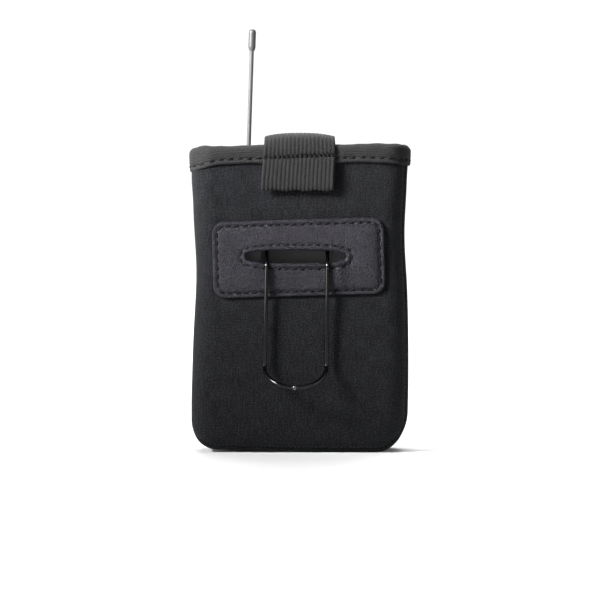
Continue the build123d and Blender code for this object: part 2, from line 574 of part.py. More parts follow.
def antenna_tip():
    """The moulded cap at the top of the aerial: tapered foot, round body and domed end."""
    length = WHIP_Z1 - WHIP_Z0
    foot_z = length - 1.0
    body_z = foot_z + TIP_FOOT_H
    body_h = TIP_LENGTH - TIP_FOOT_H - TIP_R
    foot = Pos(0, 0, foot_z + TIP_FOOT_H / 2) * Cone(WHIP_R + 0.3, TIP_R, TIP_FOOT_H)
    body = Pos(0, 0, body_z + body_h / 2) * Cylinder(TIP_R, body_h)
    dome = Pos(0, 0, body_z + body_h) * Sphere(TIP_R)
    socket = Pos(0, 0, length / 2) * Cylinder(WHIP_R, length)
    return on_antenna((foot + body + dome) - socket)


def antenna_base():
    """The flexible boot at the aerial's foot, with its threaded stem."""
    flange_top = CASE_TOP_Z + BOOT_FLANGE_H
    boot = rod_z(BOOT_STEM_R, ANTENNA_SOCKET_TOP_Z, CASE_TOP_Z, ANTENNA_X)
    boot += rod_z(BOOT_FLANGE_R, CASE_TOP_Z, flange_top, ANTENNA_X)
    boot += Pos(ANTENNA_X, 0, flange_top + BOOT_H / 2) * Cone(BOOT_FOOT_R, BOOT_HEAD_R, BOOT_H)
    return boot - antenna_whip()


def antenna_socket():
    """The aerial's socket on the control board."""
    half = ANTENNA_SOCKET_HALF_W
    return rod_z(ANTENNA_SOCKET_R, CONTROL_Z1, ANTENNA_SOCKET_TOP_Z, ANTENNA_X) + block(
        ANTENNA_X - half, ANTENNA_X + half, -half, half, CONTROL_Z1, CONTROL_Z1 + 1)


# ---------------------------------------------------------------- inside the case

def battery_cell(side):
    """One AA cell; the two stand opposite ways up."""
    x = side * CELL_X
    if side < 0:
        return rod_z(CELL_R, CELL_Z0, CELL_Z0 + CELL_L, x, CELL_Y) + rod_z(
            CELL_NUB_R, CELL_Z0 + CELL_L, CELL_Z1, x, CELL_Y)
    return rod_z(CELL_R, CELL_Z0 + CELL_NUB_L, CELL_Z1, x, CELL_Y) + rod_z(
        CELL_NUB_R, CELL_Z0, CELL_Z0 + CELL_NUB_L, x, CELL_Y)


def battery_tray():
    """The open tray that holds the cells."""
    half = TRAY_W / 2
    tray = block(-half, half, TRAY_Y0, TRAY_Y1, TRAY_Z0, TRAY_Z1)
    tray -= block(-half + TRAY_WALL, half - TRAY_WALL, TRAY_Y0 + TRAY_WALL, TRAY_Y1 + 1,
                  TRAY_Z0 + TRAY_WALL, TRAY_Z1 - TRAY_WALL)
    return tray + block(-TRAY_RIB_HALF_T, TRAY_RIB_HALF_T, TRAY_Y0 + TRAY_WALL, TRAY_Y0 + TRAY_RIB_D,
                        TRAY_Z0 + TRAY_WALL, TRAY_Z1 - TRAY_WALL)


def upper_contacts():
    """Two contact plates above the cells."""
    z0, z1 = CELL_Z1, TRAY_Z1 - TRAY_WALL
    plates = None
    for side in (-1, 1):
        x = side * CELL_X
        plate = block(x - CONTACT_HALF_W, x + CONTACT_HALF_W, CONTACT_Y0, CONTACT_Y1, z1 - CONTACT_T, z1)
        plate += rod_z(CONTACT_STUD_R, z0, z1 - CONTACT_T, x, CELL_Y)
        plates = plate if plates is None else plates + plate
    return plates


def lower_contact():
    """The bridge below the cells: one plate with two folded leaf springs."""
    z0 = TRAY_Z0 + TRAY_WALL
    z1 = z0 + CONTACT_T
    bridge = block(-BRIDGE_HALF_W, BRIDGE_HALF_W, CONTACT_Y0, CONTACT_Y1, z0, z1)
    for side in (-1, 1):
        left, right = side * CELL_X - LEAF_HALF_W, side * CELL_X + LEAF_HALF_W
        leaf = Polyline((left, z1), (left, z1 + CONTACT_T), (right, CELL_Z0), (right, CELL_Z0 - CONTACT_T),
                        (left + 2 * CONTACT_T, z1), close=True)
        bridge += extrude(Plane.XZ.offset(-CELL_Y) * make_face(leaf), LEAF_HALF_D, both=True)
    return bridge


def main_board():
    """The upright circuit board in the upper half of the case."""
    return block(BOARD_X0, BOARD_X1, BOARD_REAR_Y, BOARD_FRONT_Y, BOARD_Z0, BOARD_Z1)


def main_chips():
    """The processor, converter and small parts on the front of the board."""
    chips = None
    for x0, x1, z0 in CHIPS:
        chip = block(x0, x1, BOARD_FRONT_Y, CHIP_FRONT_Y, z0, CHIP_Z1)
        chips = chip if chips is None else chips + chip
    for step in range(SMALL_PARTS):
        x = SMALL_PART_X0 + SMALL_PART_PITCH * step
        chips += block(x, x + SMALL_PART_W, BOARD_FRONT_Y, 0, SMALL_PART_Z0, SMALL_PART_Z1)
    return chips


def rf_shield_can():
    """The metal can over the radio circuit, on the rear of the board."""
    can = block(CAN_X0, CAN_X1, CAN_REAR_Y, BOARD_REAR_Y, CAN_Z0, CAN_Z1)
    return fillet(can.edges().filter_by(Axis.Y), 0.8)


def control_board():
    """The small flat board under the top plate."""
    return block(CONTROL_X0, CONTROL_X1, -CONTROL_HALF_D, CONTROL_HALF_D, CONTROL_Z0, CONTROL_Z1)


def board_connector():
    """The pin header between the two boards."""
    return block(HEADER_X0, HEADER_X1, BOARD_REAR_Y, BOARD_FRONT_Y, BOARD_Z1, CONTROL_Z0)


def lcd_module():
    """The display panel on its header strip."""
    panel = block(-LCD_HALF_W, LCD_HALF_W, LCD_REAR_Y, CASE_FRONT_Y - CASE_WALL - 0.3, LCD_Z0, LCD_Z1)
    return panel + block(LCD_STRIP_X0, LCD_STRIP_X1, BOARD_FRONT_Y, LCD_REAR_Y, LCD_Z0,
                         LCD_Z0 + LCD_STRIP_H)


WALL = pouch_wall()
PARTS = {
    "pouch_back_panel": (WALL & behind(0)) - relief_opening(),
    "pouch_front_panel": WALL & ahead(0),
    "mouth_binding": mouth_binding(),
    "clip_slot_patch": clip_slot_patch(),
    "closure_strap": closure_strap(),
    "strap_tail": strap_tail(),
    "hook_tape": hook_tape(),
    "loop_tape": loop_tape(),
    "belt_clip": belt_clip(),
    "clip_bracket": clip_bracket(),
    "bracket_screws": bracket_screw_shape(),
    "pack_rear_shell": pack_rear_shell(),
    "pack_front_shell": pack_front_shell(),
    "top_plate": top_plate(),
    "case_screws": case_screw_shape(),
    "battery_door": battery_door(),
    "door_hinge_pin": rod_x(DOOR_PIN_R, -DOOR_PIN_HALF_L, DOOR_PIN_HALF_L, DOOR_PIN_Y, DOOR_PIN_Z),
    "door_latch": door_latch(),
    "display_window": window_blank(FIT),
    "battery_tray": battery_tray(),
    "battery_left": battery_cell(-1),
    "battery_right": battery_cell(1),
    "upper_contacts": upper_contacts(),
    "lower_contact": lower_contact(),
    "main_board": main_board(),
    "main_chips": main_chips(),
    "rf_shield_can": rf_shield_can(),
    "control_board": control_board(),
    "board_connector": board_connector(),
    "lcd_module": lcd_module(),
    "status_led": status_led(),
    "power_switch": power_switch(),
    "mute_switch": mute_switch(),
    "power_button": power_button(),
    "mute_slider": mute_slider(),
    "antenna_socket": antenna_socket(),
    "antenna_base": antenna_base(),
    "antenna_whip": antenna_whip(),
    "antenna_tip": antenna_tip(),
    "jack_housing": jack_housing(),
    "jack_contacts": jack_contacts(),
    "jack_bush": jack_bush(),
    "jack_nut": jack_nut(),
}

os.makedirs("parts", exist_ok=True)
for name, shape in PARTS.items():
    export_step(shape, f"parts/{name}.step")
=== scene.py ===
import json
from math import atan2, cos, exp, hypot, pi, sin, sqrt

import bmesh
import bpy
import numpy as np
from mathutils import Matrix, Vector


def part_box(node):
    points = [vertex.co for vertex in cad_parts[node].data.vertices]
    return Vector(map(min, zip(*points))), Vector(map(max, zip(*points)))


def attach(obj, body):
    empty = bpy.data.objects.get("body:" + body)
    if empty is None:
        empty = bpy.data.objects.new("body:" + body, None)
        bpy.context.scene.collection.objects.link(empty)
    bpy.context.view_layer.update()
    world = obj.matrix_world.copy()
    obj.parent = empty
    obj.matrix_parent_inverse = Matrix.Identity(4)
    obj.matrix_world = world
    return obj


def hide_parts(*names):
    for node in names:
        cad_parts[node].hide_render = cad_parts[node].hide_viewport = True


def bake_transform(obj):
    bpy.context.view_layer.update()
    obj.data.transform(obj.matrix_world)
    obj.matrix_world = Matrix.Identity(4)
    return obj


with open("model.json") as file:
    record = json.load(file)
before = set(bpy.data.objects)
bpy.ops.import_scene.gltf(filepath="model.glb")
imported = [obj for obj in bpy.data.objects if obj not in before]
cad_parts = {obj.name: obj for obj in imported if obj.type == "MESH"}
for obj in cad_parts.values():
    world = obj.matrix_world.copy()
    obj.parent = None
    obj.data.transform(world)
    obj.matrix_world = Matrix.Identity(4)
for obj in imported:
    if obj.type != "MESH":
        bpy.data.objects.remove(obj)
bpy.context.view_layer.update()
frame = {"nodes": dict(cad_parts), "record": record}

# Shapes are worked out in millimetres, in the frame of the CAD model, and are scaled as they are made.
MM = 0.001
ROOT, CLIP, STRAP = "pouch_and_pack", "clip", "strap"
LOW, HIGH = 0, 1
X, Y, Z = 0, 1, 2


def box(node):
    """The lowest and highest corner of a CAD node, in millimetres."""
    return [np.array(corner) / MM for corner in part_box(node)]


BACK = box("pouch_back_panel")
BINDING = box("mouth_binding")
PATCH = box("clip_slot_patch")
TAIL = box("strap_tail")
CLOSURE = box("closure_strap")
CLIP_WIRE = box("belt_clip")

# ------------ mesh helpers


def smoothstep(value, low, high):
    """0 below low, 1 above high, and an even curve between."""
    t = np.clip((np.asarray(value, float) - low) / (high - low), 0, 1)
    return t * t * (3 - 2 * t)


def hump(value, middle, spread):
    """A soft bump of height 1."""
    return np.exp(-((np.asarray(value, float) - middle) / spread) ** 2)


def ripple(x, z, seed):
    """Slow, even unevenness between about -1 and 1, the same on every run."""
    rng = np.random.default_rng(seed)
    total, waves = np.zeros_like(np.asarray(x, float)), 7
    for _ in range(waves):
        wave, turn, phase = rng.uniform(11, 34), rng.uniform(0, 2 * pi), rng.uniform(0, 2 * pi)
        total += np.sin(2 * pi * (x * cos(turn) + z * sin(turn)) / wave + phase)
    return total / waves * 1.6


def make_mesh(name, points, faces, uvs=None):
    """A mesh object from points in millimetres, with a texture coordinate for each point."""
    mesh = bpy.data.meshes.new(name)
    mesh.from_pydata((np.asarray(points, float) * MM).tolist(), [], [list(map(int, f)) for f in faces])
    mesh.validate()
    if uvs is not None:
        layer = mesh.uv_layers.new(name="UVMap")
        corner_points = np.empty(len(mesh.loops), int)
        mesh.loops.foreach_get("vertex_index", corner_points)
        layer.data.foreach_set("uv", np.asarray(uvs, float)[corner_points].ravel())
    mesh.polygons.foreach_set("use_smooth", np.ones(len(mesh.polygons), bool))
    mesh.update()
    piece = bpy.data.objects.new(name, mesh)
    bpy.context.scene.collection.objects.link(piece)
    return piece


def grid_faces(rows, cols, close_rows=False, close_cols=False, offset=0):
    """Quads over a grid of points stored row by row."""
    faces = []
    for r in range(rows if close_rows else rows - 1):
        for c in range(cols if close_cols else cols - 1):
            r1, c1 = (r + 1) % rows, (c + 1) % cols
            faces.append([offset + r * cols + c, offset + r * cols + c1,
                          offset + r1 * cols + c1, offset + r1 * cols + c])
    return faces


def recalculate_outward(piece):
    """Turns every face outward."""
    work = bmesh.new()
    work.from_mesh(piece.data)
    bmesh.ops.recalc_face_normals(work, faces=work.faces)
    work.to_mesh(piece.data)
    work.free()


def finish_piece(piece, body, material, slot, *nodes):
    """Gives a piece its material and its body, and hides the CAD nodes that it stands for. The slot is not
    used.
    """
    piece.data.materials.clear()
    piece.data.materials.append(material)
    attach(piece, body)
    if nodes:
        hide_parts(*nodes)
    return piece


def lengths_along(points):
    """The distance travelled at each point of a line."""
    steps = np.linalg.norm(np.diff(points, axis=0), axis=1)
    return np.concatenate([[0], np.cumsum(steps)])


def loop_lengths(points):
    """The same for a closed line, with its whole length at the end."""
    return lengths_along(np.vstack([points, points[:1]]))


def turned_out(steps):
    """Unit directions at right angles to the steps of a flat line."""
    normal = np.stack([steps[:, 1], -steps[:, 0]], axis=1)
    return normal / np.linalg.norm(normal, axis=1)[:, None]


def loop_normals(points):
    """Directions out of a closed line."""
    return turned_out(np.roll(points, -1, axis=0) - np.roll(points, 1, axis=0))


def points_at(points, along, want):
    """Points of a line at these distances along it."""
    return np.stack([np.interp(want, along, points[:, k]) for k in range(points.shape[1])], axis=-1)


def resample(points, count, closed=False):
    """Evenly spaced points along a line."""
    points = np.asarray(points, float)
    if closed:
        points = np.vstack([points, points[:1]])
    along = lengths_along(points)
    want = np.linspace(0, along[-1], count + 1 if closed else count)
    if closed:
        want = want[:-1]
    return points_at(points, along, want)


def through(points, count):
    """A smooth line through a few points (Catmull-Rom), evenly resampled."""
    p = np.asarray(points, float)
    p = np.vstack([2 * p[0] - p[1], p, 2 * p[-1] - p[-2]])
    line = []
    for k in range(1, len(p) - 2):
        t = np.linspace(0, 1, 24, endpoint=k == len(p) - 3)[:, None]
        line.append(0.5 * (2 * p[k] + (p[k + 1] - p[k - 1]) * t
                           + (2 * p[k - 1] - 5 * p[k] + 4 * p[k + 1] - p[k + 2]) * t ** 2
                           + (3 * p[k] - p[k - 1] - 3 * p[k + 1] + p[k + 2]) * t ** 3))
    return resample(np.vstack(line), count)


def end_caps(rings, sides, start=0):
    """The two end faces of a tube of rings."""
    last = start + (rings - 1) * sides
    return [[start + s for s in range(sides)][::-1], [last + s for s in range(sides)]]


def rounded_corners(left, right, half_height, radius, steps):
    """The four corners of a rectangle, as arcs, starting from its right side."""
    points = []
    corners = [(right, 1, 1), (left, -1, 1), (left, -1, -1), (right, 1, -1)]
    for quarter, (side, outward, up) in enumerate(corners):
        for step in range(steps + 1):
            turn = pi / 2 * (quarter + step / steps)
            points.append((side - outward * radius + radius * cos(turn),
                           up * (half_height - radius) + radius * sin(turn)))
    return points


def stitch_mesh(name, stitches, thread, sink):
    """Short threads that dive into the cloth at both ends.

    Each stitch is (middle, direction, outward, length).
    """
    sides, rings, taper, flatness = 6, 7, 0.35, 0.8
    points, faces = [], []
    for middle, direction, outward, length in stitches:
        direction = np.asarray(direction, float) / np.linalg.norm(direction)
        outward = np.asarray(outward, float) / np.linalg.norm(outward)
        across = np.cross(direction, outward)
        start = len(points)
        for r in range(rings):
            t = 2 * r / (rings - 1) - 1
            centre = np.asarray(middle) + direction * (t * length / 2) - outward * (sink * t ** 4)
            radius = thread / 2 * (1 - taper * t ** 6)
            for s in range(sides):
                turn = 2 * pi * s / sides
                points.append(centre + radius * (cos(turn) * across + flatness * sin(turn) * outward))
        faces += grid_faces(rings, sides, close_cols=True, offset=start) + end_caps(rings, sides, start)
    return make_mesh(name, points, faces)


# ------------ shader helpers


class Wire:
    """A shader socket that can be used in sums; each operation adds the Math node for it."""

    def __init__(self, shader, socket):
        self.shader, self.socket = shader, socket

    def _math(self, operation, *values):
        inputs = {f"_{k}": value for k, value in enumerate(values)}
        return self.shader.node("ShaderNodeMath", {"operation": operation}, **inputs)

    def __add__(self, other): return self._math("ADD", self, other)
    def __radd__(self, other): return self._math("ADD", other, self)
    def __sub__(self, other): return self._math("SUBTRACT", self, other)
    def __rsub__(self, other): return self._math("SUBTRACT", other, self)
    def __mul__(self, other): return self._math("MULTIPLY", self, other)
    def sin(self): return self._math("SINE", self)
    def abs(self): return self._math("ABSOLUTE", self)

    def ramp(self, low, high):
        """0 below low, 1 above high, with a smooth rise."""
        return self.shader.node("ShaderNodeMapRange", {"interpolation_type": "SMOOTHSTEP"}, "Result",
                                Value=self, **{"From Min": low, "From Max": high})


class Shader:
    """One material under construction."""

    def __init__(self, name, color, roughness, **constants):
        self.material = bpy.data.materials.new(name)
        self.material.use_nodes = True
        self.material.diffuse_color = (*color, 1)
        self.tree = self.material.node_tree
        self.surface = next(n for n in self.tree.nodes if n.type == "BSDF_PRINCIPLED")
        self.color = color
        self.surface.inputs["Base Color"].default_value = (*color, 1)
        self.surface.inputs["Roughness"].default_value = roughness
        for socket, value in constants.items():
            self.surface.inputs[socket.replace("_", " ")].default_value = value

    def node(self, kind, settings=None, output=0, **inputs):
        """Any node: its settings, then the values or links of its sockets, by name or as _number."""
        made = self.tree.nodes.new(kind)
        for key, value in (settings or {}).items():
            setattr(made, key, value)
        for key, value in inputs.items():
            socket = made.inputs[int(key[1:])] if key[0] == "_" else made.inputs[key]
            if isinstance(value, Wire):
                self.tree.links.new(value.socket, socket)
            else:
                socket.default_value = value
        return Wire(self, made.outputs[output])

    def uv_point(self):
        """The texture coordinate, in millimetres."""
        return self.node("ShaderNodeUVMap")

    def uv(self):
        """The texture coordinate as two values, and as the point itself."""
        where = self.uv_point()
        return (self.node("ShaderNodeSeparateXYZ", None, "X", Vector=where),
                self.node("ShaderNodeSeparateXYZ", None, "Y", Vector=where), where)

    def place(self):
        """The point in the object's own coordinates, in millimetres."""
        where = self.node("ShaderNodeTexCoord", None, "Object")
        return self.node("ShaderNodeVectorMath", {"operation": "SCALE"}, 0, _0=where, Scale=1 / MM)

    def noise(self, where, scale, detail=2.0, roughness=0.5, stretch=None):
        """Soft noise, scale cells per millimetre, stretched along the axes if asked."""
        if stretch:
            where = self.node("ShaderNodeVectorMath", {"operation": "MULTIPLY"}, 0, _0=where, _1=stretch)
        return self.node("ShaderNodeTexNoise", None, 0, Vector=where, Scale=scale, Detail=detail,
                         Roughness=roughness)

    def cells(self, where, scale, feature="F1", randomness=1.0):
        """Distances in a pattern of cells, scale cells per millimetre."""
        return self.node("ShaderNodeTexVoronoi", {"feature": feature}, 0, Vector=where, Scale=scale,
                         Randomness=randomness)

    def tint(self, amount, color):
        """Mixes the base colour towards another by an amount."""
        mixed = self.node("ShaderNodeMix", {"data_type": "RGBA"}, 2, _0=amount,
                          _6=(*self.color, 1), _7=(*color, 1))
        self.tree.links.new(mixed.socket, self.surface.inputs["Base Color"])

    def rough(self, value):
        """Lets the roughness vary."""
        self.tree.links.new(value.socket, self.surface.inputs["Roughness"])

    def relief(self, height, depth, strength=1.0):
        """Bump from a height between 0 and 1, this many millimetres deep. Returns the finished material."""
        bump = self.node("ShaderNodeBump", None, 0, Strength=strength, Distance=depth * MM, Height=height)
        self.tree.links.new(bump.socket, self.surface.inputs["Normal"])
        return self.material


# ------------ materials


def neoprene_cloth():
    """Fine jersey bonded to foam: upright wales, loops, and a little lint."""
    s = Shader("neoprene_jersey", (0.003, 0.0032, 0.0038), 0.9, Sheen_Weight=0.05, Sheen_Roughness=0.35,
               Specular_IOR_Level=0.05)
    u, v, where = s.uv()
    wale_pitch, loop_pitch = 0.62, 0.52
    columns = (u * (2 * pi / wale_pitch)).sin()
    wale = columns.abs()
    loops = (v * (2 * pi / loop_pitch) + columns * 1.6).sin() * 0.5 + 0.5
    streaks = s.noise(where, 1.0, 3.0, 0.6, (1.5, 0.22, 1.0))
    mottle = s.noise(where, 0.16, 2.0, 0.5)
    grain = s.noise(where, 2.1, 3.0, 0.7)
    specks = s.noise(where, 2.3, 2.0, 0.8).ramp(0.60, 0.74)
    lint = s.noise(where, 0.31, 5.0, 0.8).ramp(0.70, 0.76)
    s.tint(streaks * 0.55 + mottle * 0.2 + grain * 2.0 + loops * 0.16 + specks * 0.5 + lint * 0.5 - 1.27,
           (0.037, 0.0382, 0.0412))
    s.rough(0.82 + mottle * 0.16 - specks * 0.1)
    return s.relief(wale * 0.3 + loops * 0.25 + grain * 0.6 + streaks * 0.4, 0.3)


def ribbed_elastic(name, color, light, pitch, along_u, depth):
    """Elastic tape: raised cords a pitch apart, with the small cross threads between them."""
    s = Shader(name, color, 0.85, Sheen_Weight=0.04, Sheen_Roughness=0.4, Specular_IOR_Level=0.12)
    u, v, where = s.uv()
    across, along = (v, u) if along_u else (u, v)
    thread_pitch = 0.75
    wave = (across * (pi / pitch)).sin()
    cord = wave.abs()
    thread = (along * (2 * pi / thread_pitch) + wave * 2.2).sin() * 0.5 + 0.5
    fuzz = s.noise(where, 1.7, 3.0, 0.7)
    wear = s.noise(where, 0.22, 2.0, 0.5)
    specks = s.noise(where, 1.3, 3.0, 0.75).ramp(0.58, 0.72)
    s.tint(cord * 0.12 + thread * 0.22 + fuzz * 1.7 + wear * 0.22 + specks * 0.5 - 0.9, light)
    s.rough(0.76 + fuzz * 0.2)
    return s.relief(cord * 0.4 + thread * 0.3 + fuzz * 0.6, depth)


def grained_leather():
    """Coated leather: small pebbles with creases between them, satin."""
    s = Shader("coated_leather", (0.004, 0.0038, 0.0053), 0.45, Specular_IOR_Level=0.16)
    where = s.uv_point()
    warp = s.node("ShaderNodeVectorMath", {"operation": "ADD"}, 0, _0=where,
                  _1=s.node("ShaderNodeTexNoise", None, 1, Vector=where, Scale=0.8, Detail=2.0))
    pebbles = s.cells(warp, 1.7).ramp(0.05, 0.62)
    fine = s.cells(warp, 3.2).ramp(0.1, 0.6)
    pores = s.noise(where, 2.0, 3.0, 0.7)
    wear = s.noise(where, 0.13, 3.0, 0.55)
    patches = s.cells(where, 0.4) * 0.3
    s.tint(wear * 0.4 + pebbles * 0.6 + pores * 2.8 + patches - 1.78, (0.021, 0.0195, 0.0255))
    s.rough(0.26 + pores * 0.16 + pebbles * 0.1)
    return s.relief((1 - pebbles) * 0.6 + (1 - fine) * 0.4 + pores * 0.5, 0.3)


def sewing_thread(name, color):
    """Twisted polyester thread."""
    s = Shader(name, color, 0.75, Specular_IOR_Level=0.15)
    where = s.place()
    twist = s.noise(where, 2.2, 2.0, 0.5, (1.0, 1.0, 2.2))
    s.tint(twist * 0.6, tuple(min(1.0, c * 2.4 + 0.002) for c in color))
    return s.relief(twist, 0.08)


def lacquered_wire():
    """Glossy black lacquer over drawn wire."""
    s = Shader("black_lacquered_wire", (0.001, 0.001, 0.0012), 0.12, Coat_Weight=0.25, Coat_Roughness=0.04,
               Specular_IOR_Level=0.2)
    where = s.place()
    drawn = s.noise(where, 1.1, 3.0, 0.6, (1.0, 1.0, 0.12))
    chips = s.noise(where, 0.7, 4.0, 0.7).ramp(0.7, 0.76)
    s.tint(chips * 0.5, (0.03, 0.03, 0.03))
    s.rough(0.08 + drawn * 0.1 + chips * 0.25)
    return s.relief(drawn, 0.03, 0.5)


def moulded_plastic(name, color, roughness, grain=0.05):
    """Moulded plastic with a fine spark-eroded texture and soft handling wear."""
    s = Shader(name, color, roughness, Specular_IOR_Level=0.45)
    where = s.place()
    spark = s.noise(where, 2.6, 3.0, 0.6)
    hands = s.noise(where, 0.09, 3.0, 0.6)
    s.tint(spark * 0.3 + hands * 0.3 - 0.1, tuple(min(1.0, c * 1.7 + 0.004) for c in color))
    s.rough(roughness - 0.08 + hands * 0.16)
    return s.relief(spark, grain)


def plated(name, color, roughness):
    """Bright plating with fine turning marks."""
    s = Shader(name, color, roughness, Metallic=1.0)
    where = s.place()
    turned = s.noise(where, 1.6, 2.0, 0.5, (0.5, 0.5, 6.0))
    smear = s.noise(where, 0.25, 3.0, 0.6)
    s.tint(smear * 0.5, tuple(c * 0.72 for c in color))
    s.rough(roughness - 0.05 + turned * 0.12 + smear * 0.08)
    return s.relief(turned, 0.02)


def solder_mask():
    """Green circuit board with copper tracks under the mask."""
    s = Shader("solder_mask", (0.008, 0.052, 0.022), 0.38, Coat_Weight=0.3)
    where = s.place()
    tracks = s.cells(where, 0.55, "DISTANCE_TO_EDGE", 0.6).ramp(0.04, 0.07)
    s.tint(1 - tracks, (0.02, 0.11, 0.045))
    return s.relief(1 - tracks, 0.04)


def hook_pile():
    """Hook or loop tape: a dense fibrous pile."""
    s = Shader("hook_and_loop_pile", (0.002, 0.002, 0.0024), 0.95, Sheen_Weight=0.1,
               Specular_IOR_Level=0.15)
    where = s.place()
    fibre = s.noise(where, 1.3, 5.0, 0.8)
    s.tint(fibre * 2.4 - 0.95, (0.034, 0.034, 0.037))
    return s.relief(fibre, 0.4)


def clear_plastic(name, color, roughness=0.08):
    """Clear moulded plastic with a faint haze."""
    s = Shader(name, color, roughness, Transmission_Weight=0.6, Coat_Weight=0.4)
    haze = s.noise(s.place(), 0.4, 2.0, 0.5)
    s.rough(roughness + haze * 0.1)
    s.tint(haze * 0.3, tuple(min(1.0, c * 1.3) for c in color))
    return s.relief(haze, 0.01)


NEOPRENE = neoprene_cloth()
# The ribs' pitches, in millimetres: the tape's run along its length, the webbing's along the strap.
TAPE_RIB, WEBBING_RIB = 0.86, 1.41
BINDING_TAPE = ribbed_elastic("binding_tape", (0.008, 0.008, 0.0085), (0.036, 0.036, 0.037),
                              TAPE_RIB, True, 0.2)
WEBBING = ribbed_elastic("closure_webbing", (0.006, 0.006, 0.0065), (0.025, 0.025, 0.025),
                         WEBBING_RIB, False, 0.16)
LEATHER = grained_leather()
THREAD = sewing_thread("black_thread", (0.0012, 0.0012, 0.0015))
SEAM_THREAD = sewing_thread("seam_thread", (0.02, 0.02, 0.021))
WIRE = lacquered_wire()
PILE = hook_pile()
BEAD_METAL = plated("bright_weld", (0.14, 0.14, 0.15), 0.14)

CAD_FINISHES = {
    "case_plastic": moulded_plastic("case_plastic", (0.034, 0.034, 0.036), 0.48, 0.06),
    "top_plate_plastic": moulded_plastic("top_plate_plastic", (0.03, 0.03, 0.032), 0.36, 0.03),
    "steel": plated("zinc_plated_steel", (0.55, 0.55, 0.56), 0.34),
    "window": clear_plastic("display_window", (0.03, 0.03, 0.035)),
    "cell_wrap": moulded_plastic("cell_wrap", (0.12, 0.13, 0.14), 0.3, 0.02),
    "nickel_contact": plated("nickel", (0.62, 0.59, 0.54), 0.3),
    "circuit_board": solder_mask(),
    "component_black": moulded_plastic("component_black", (0.018, 0.018, 0.02), 0.5, 0.03),
    "led_lens": clear_plastic("led_lens", (0.10, 0.42, 0.12)),
    "control_rubber": moulded_plastic("control_rubber", (0.02, 0.02, 0.021), 0.7, 0.05),
    "control_plastic": moulded_plastic("antenna_cap_plastic", (0.045, 0.045, 0.047), 0.38, 0.03),
    "plated_metal": plated("nickel_plate", (0.42, 0.42, 0.42), 0.28),
    "antenna_coat": moulded_plastic("antenna_sleeve", (0.055, 0.055, 0.058), 0.34, 0.02),
    "black_wire": WIRE,
    "hook_and_loop": PILE,
    "neoprene": NEOPRENE,
    "elastic_binding": BINDING_TAPE,
    "elastic_webbing": WEBBING,
    "synthetic_leather": LEATHER,
}

# ------------ pouch outline

BODY_HALF_W = BACK[HIGH][X]
DEPTH = -BACK[LOW][Y]
MOUTH_DEPTH = BINDING[HIGH][Y] - 0.7
RIM_Z = BACK[HIGH][Z] - 1.8
WALL = 2.9
SIDE_ROWS, CORNER_POINTS, FOOT_COLS = 78, 16, 44
# The rounding between a face and the side walls, and between a face and the foot.
FACE_ROUND, FOOT_ROUND = 8.0, 5.2
# Each bottom corner: where it meets the foot, where it meets the side, and how square it is.
LEFT_CORNER = (-28.5, 11.5, 2.2)
RIGHT_CORNER = (27.5, 14.0, 1.85)
# The groove along the side seam: its depth, and how far it spreads.
SEAM_DIP, SEAM_REACH = 1.15, 0.55


def left_edge(z):
    """The pouch's left edge, waisted where the patch stiffens it."""
    return -(BODY_HALF_W + 0.3 - 1.25 * hump(z, 63, 17) + 0.45 * smoothstep(z, 88, 98)
             + 0.5 * hump(z, 14, 18) - 0.3 * smoothstep(z, 99, 103))


def right_edge(z):
    """The right edge, whose waist is higher and slighter."""
    return (BODY_HALF_W + 0.3 - 1.0 * hump(z, 77, 15) + 0.45 * hump(z, 33, 24)
            + 0.25 * smoothstep(z, 96, 104))


def foot_line(x):
    """The bottom edge, a little higher at the left."""
    return 0.9 * (1 - smoothstep(x, -34, 6))


def corner_curve(side_x, corner):
    """A rounded bottom corner, from the side edge down to the foot."""
    foot_x, side_z, power = corner
    turn = np.linspace(0, pi / 2, 4 * CORNER_POINTS)
    x = foot_x + (side_x - foot_x) * np.cos(turn) ** (2 / power)
    z = side_z + (foot_line(foot_x) - side_z) * np.sin(turn) ** (2 / power)
    return resample(np.stack([x, z], axis=1), CORNER_POINTS)


def pouch_outline():
    """The U of the pouch seen from the clip side: down the left, along the foot, up the right."""
    left_z = np.linspace(RIM_Z, LEFT_CORNER[1], SIDE_ROWS)
    right_z = np.linspace(RIGHT_CORNER[1], RIM_Z, SIDE_ROWS)
    left = np.stack([left_edge(left_z), left_z], axis=1)
    right = np.stack([right_edge(right_z), right_z], axis=1)
    low_left = corner_curve(left[-1][0], LEFT_CORNER)
    low_right = corner_curve(right[0][0], RIGHT_CORNER)[::-1]
    foot_x = np.linspace(LEFT_CORNER[0], RIGHT_CORNER[0], FOOT_COLS)
    foot = np.stack([foot_x, foot_line(foot_x)], axis=1)
    return np.vstack([left[:-1], low_left[:-1], foot[:-1], low_right[:-1], right])


OUTLINE = pouch_outline()
OUTWARD = turned_out(np.gradient(OUTLINE, axis=0))
# How much each point belongs to the foot, and how far it is to the right: 0 to 1.
UNDER = smoothstep(-OUTWARD[:, 1], 0.25, 0.9)
AT_RIGHT = smoothstep(OUTLINE[:, 0], -6, 30)
EDGE_ROUND = FACE_ROUND * (1 - UNDER) + FOOT_ROUND * UNDER
# The seam lies on the rounded edge: nearly at the side wall on the left, nearer the face at the foot.
SEAM_TURN = np.radians(84 - 17 * AT_RIGHT * (1 - UNDER) - 26 * UNDER)


def face_depth(z):
    """How far the back or front face stands from the middle."""
    return DEPTH - (DEPTH - MOUTH_DEPTH) * smoothstep(z, 90, 101)


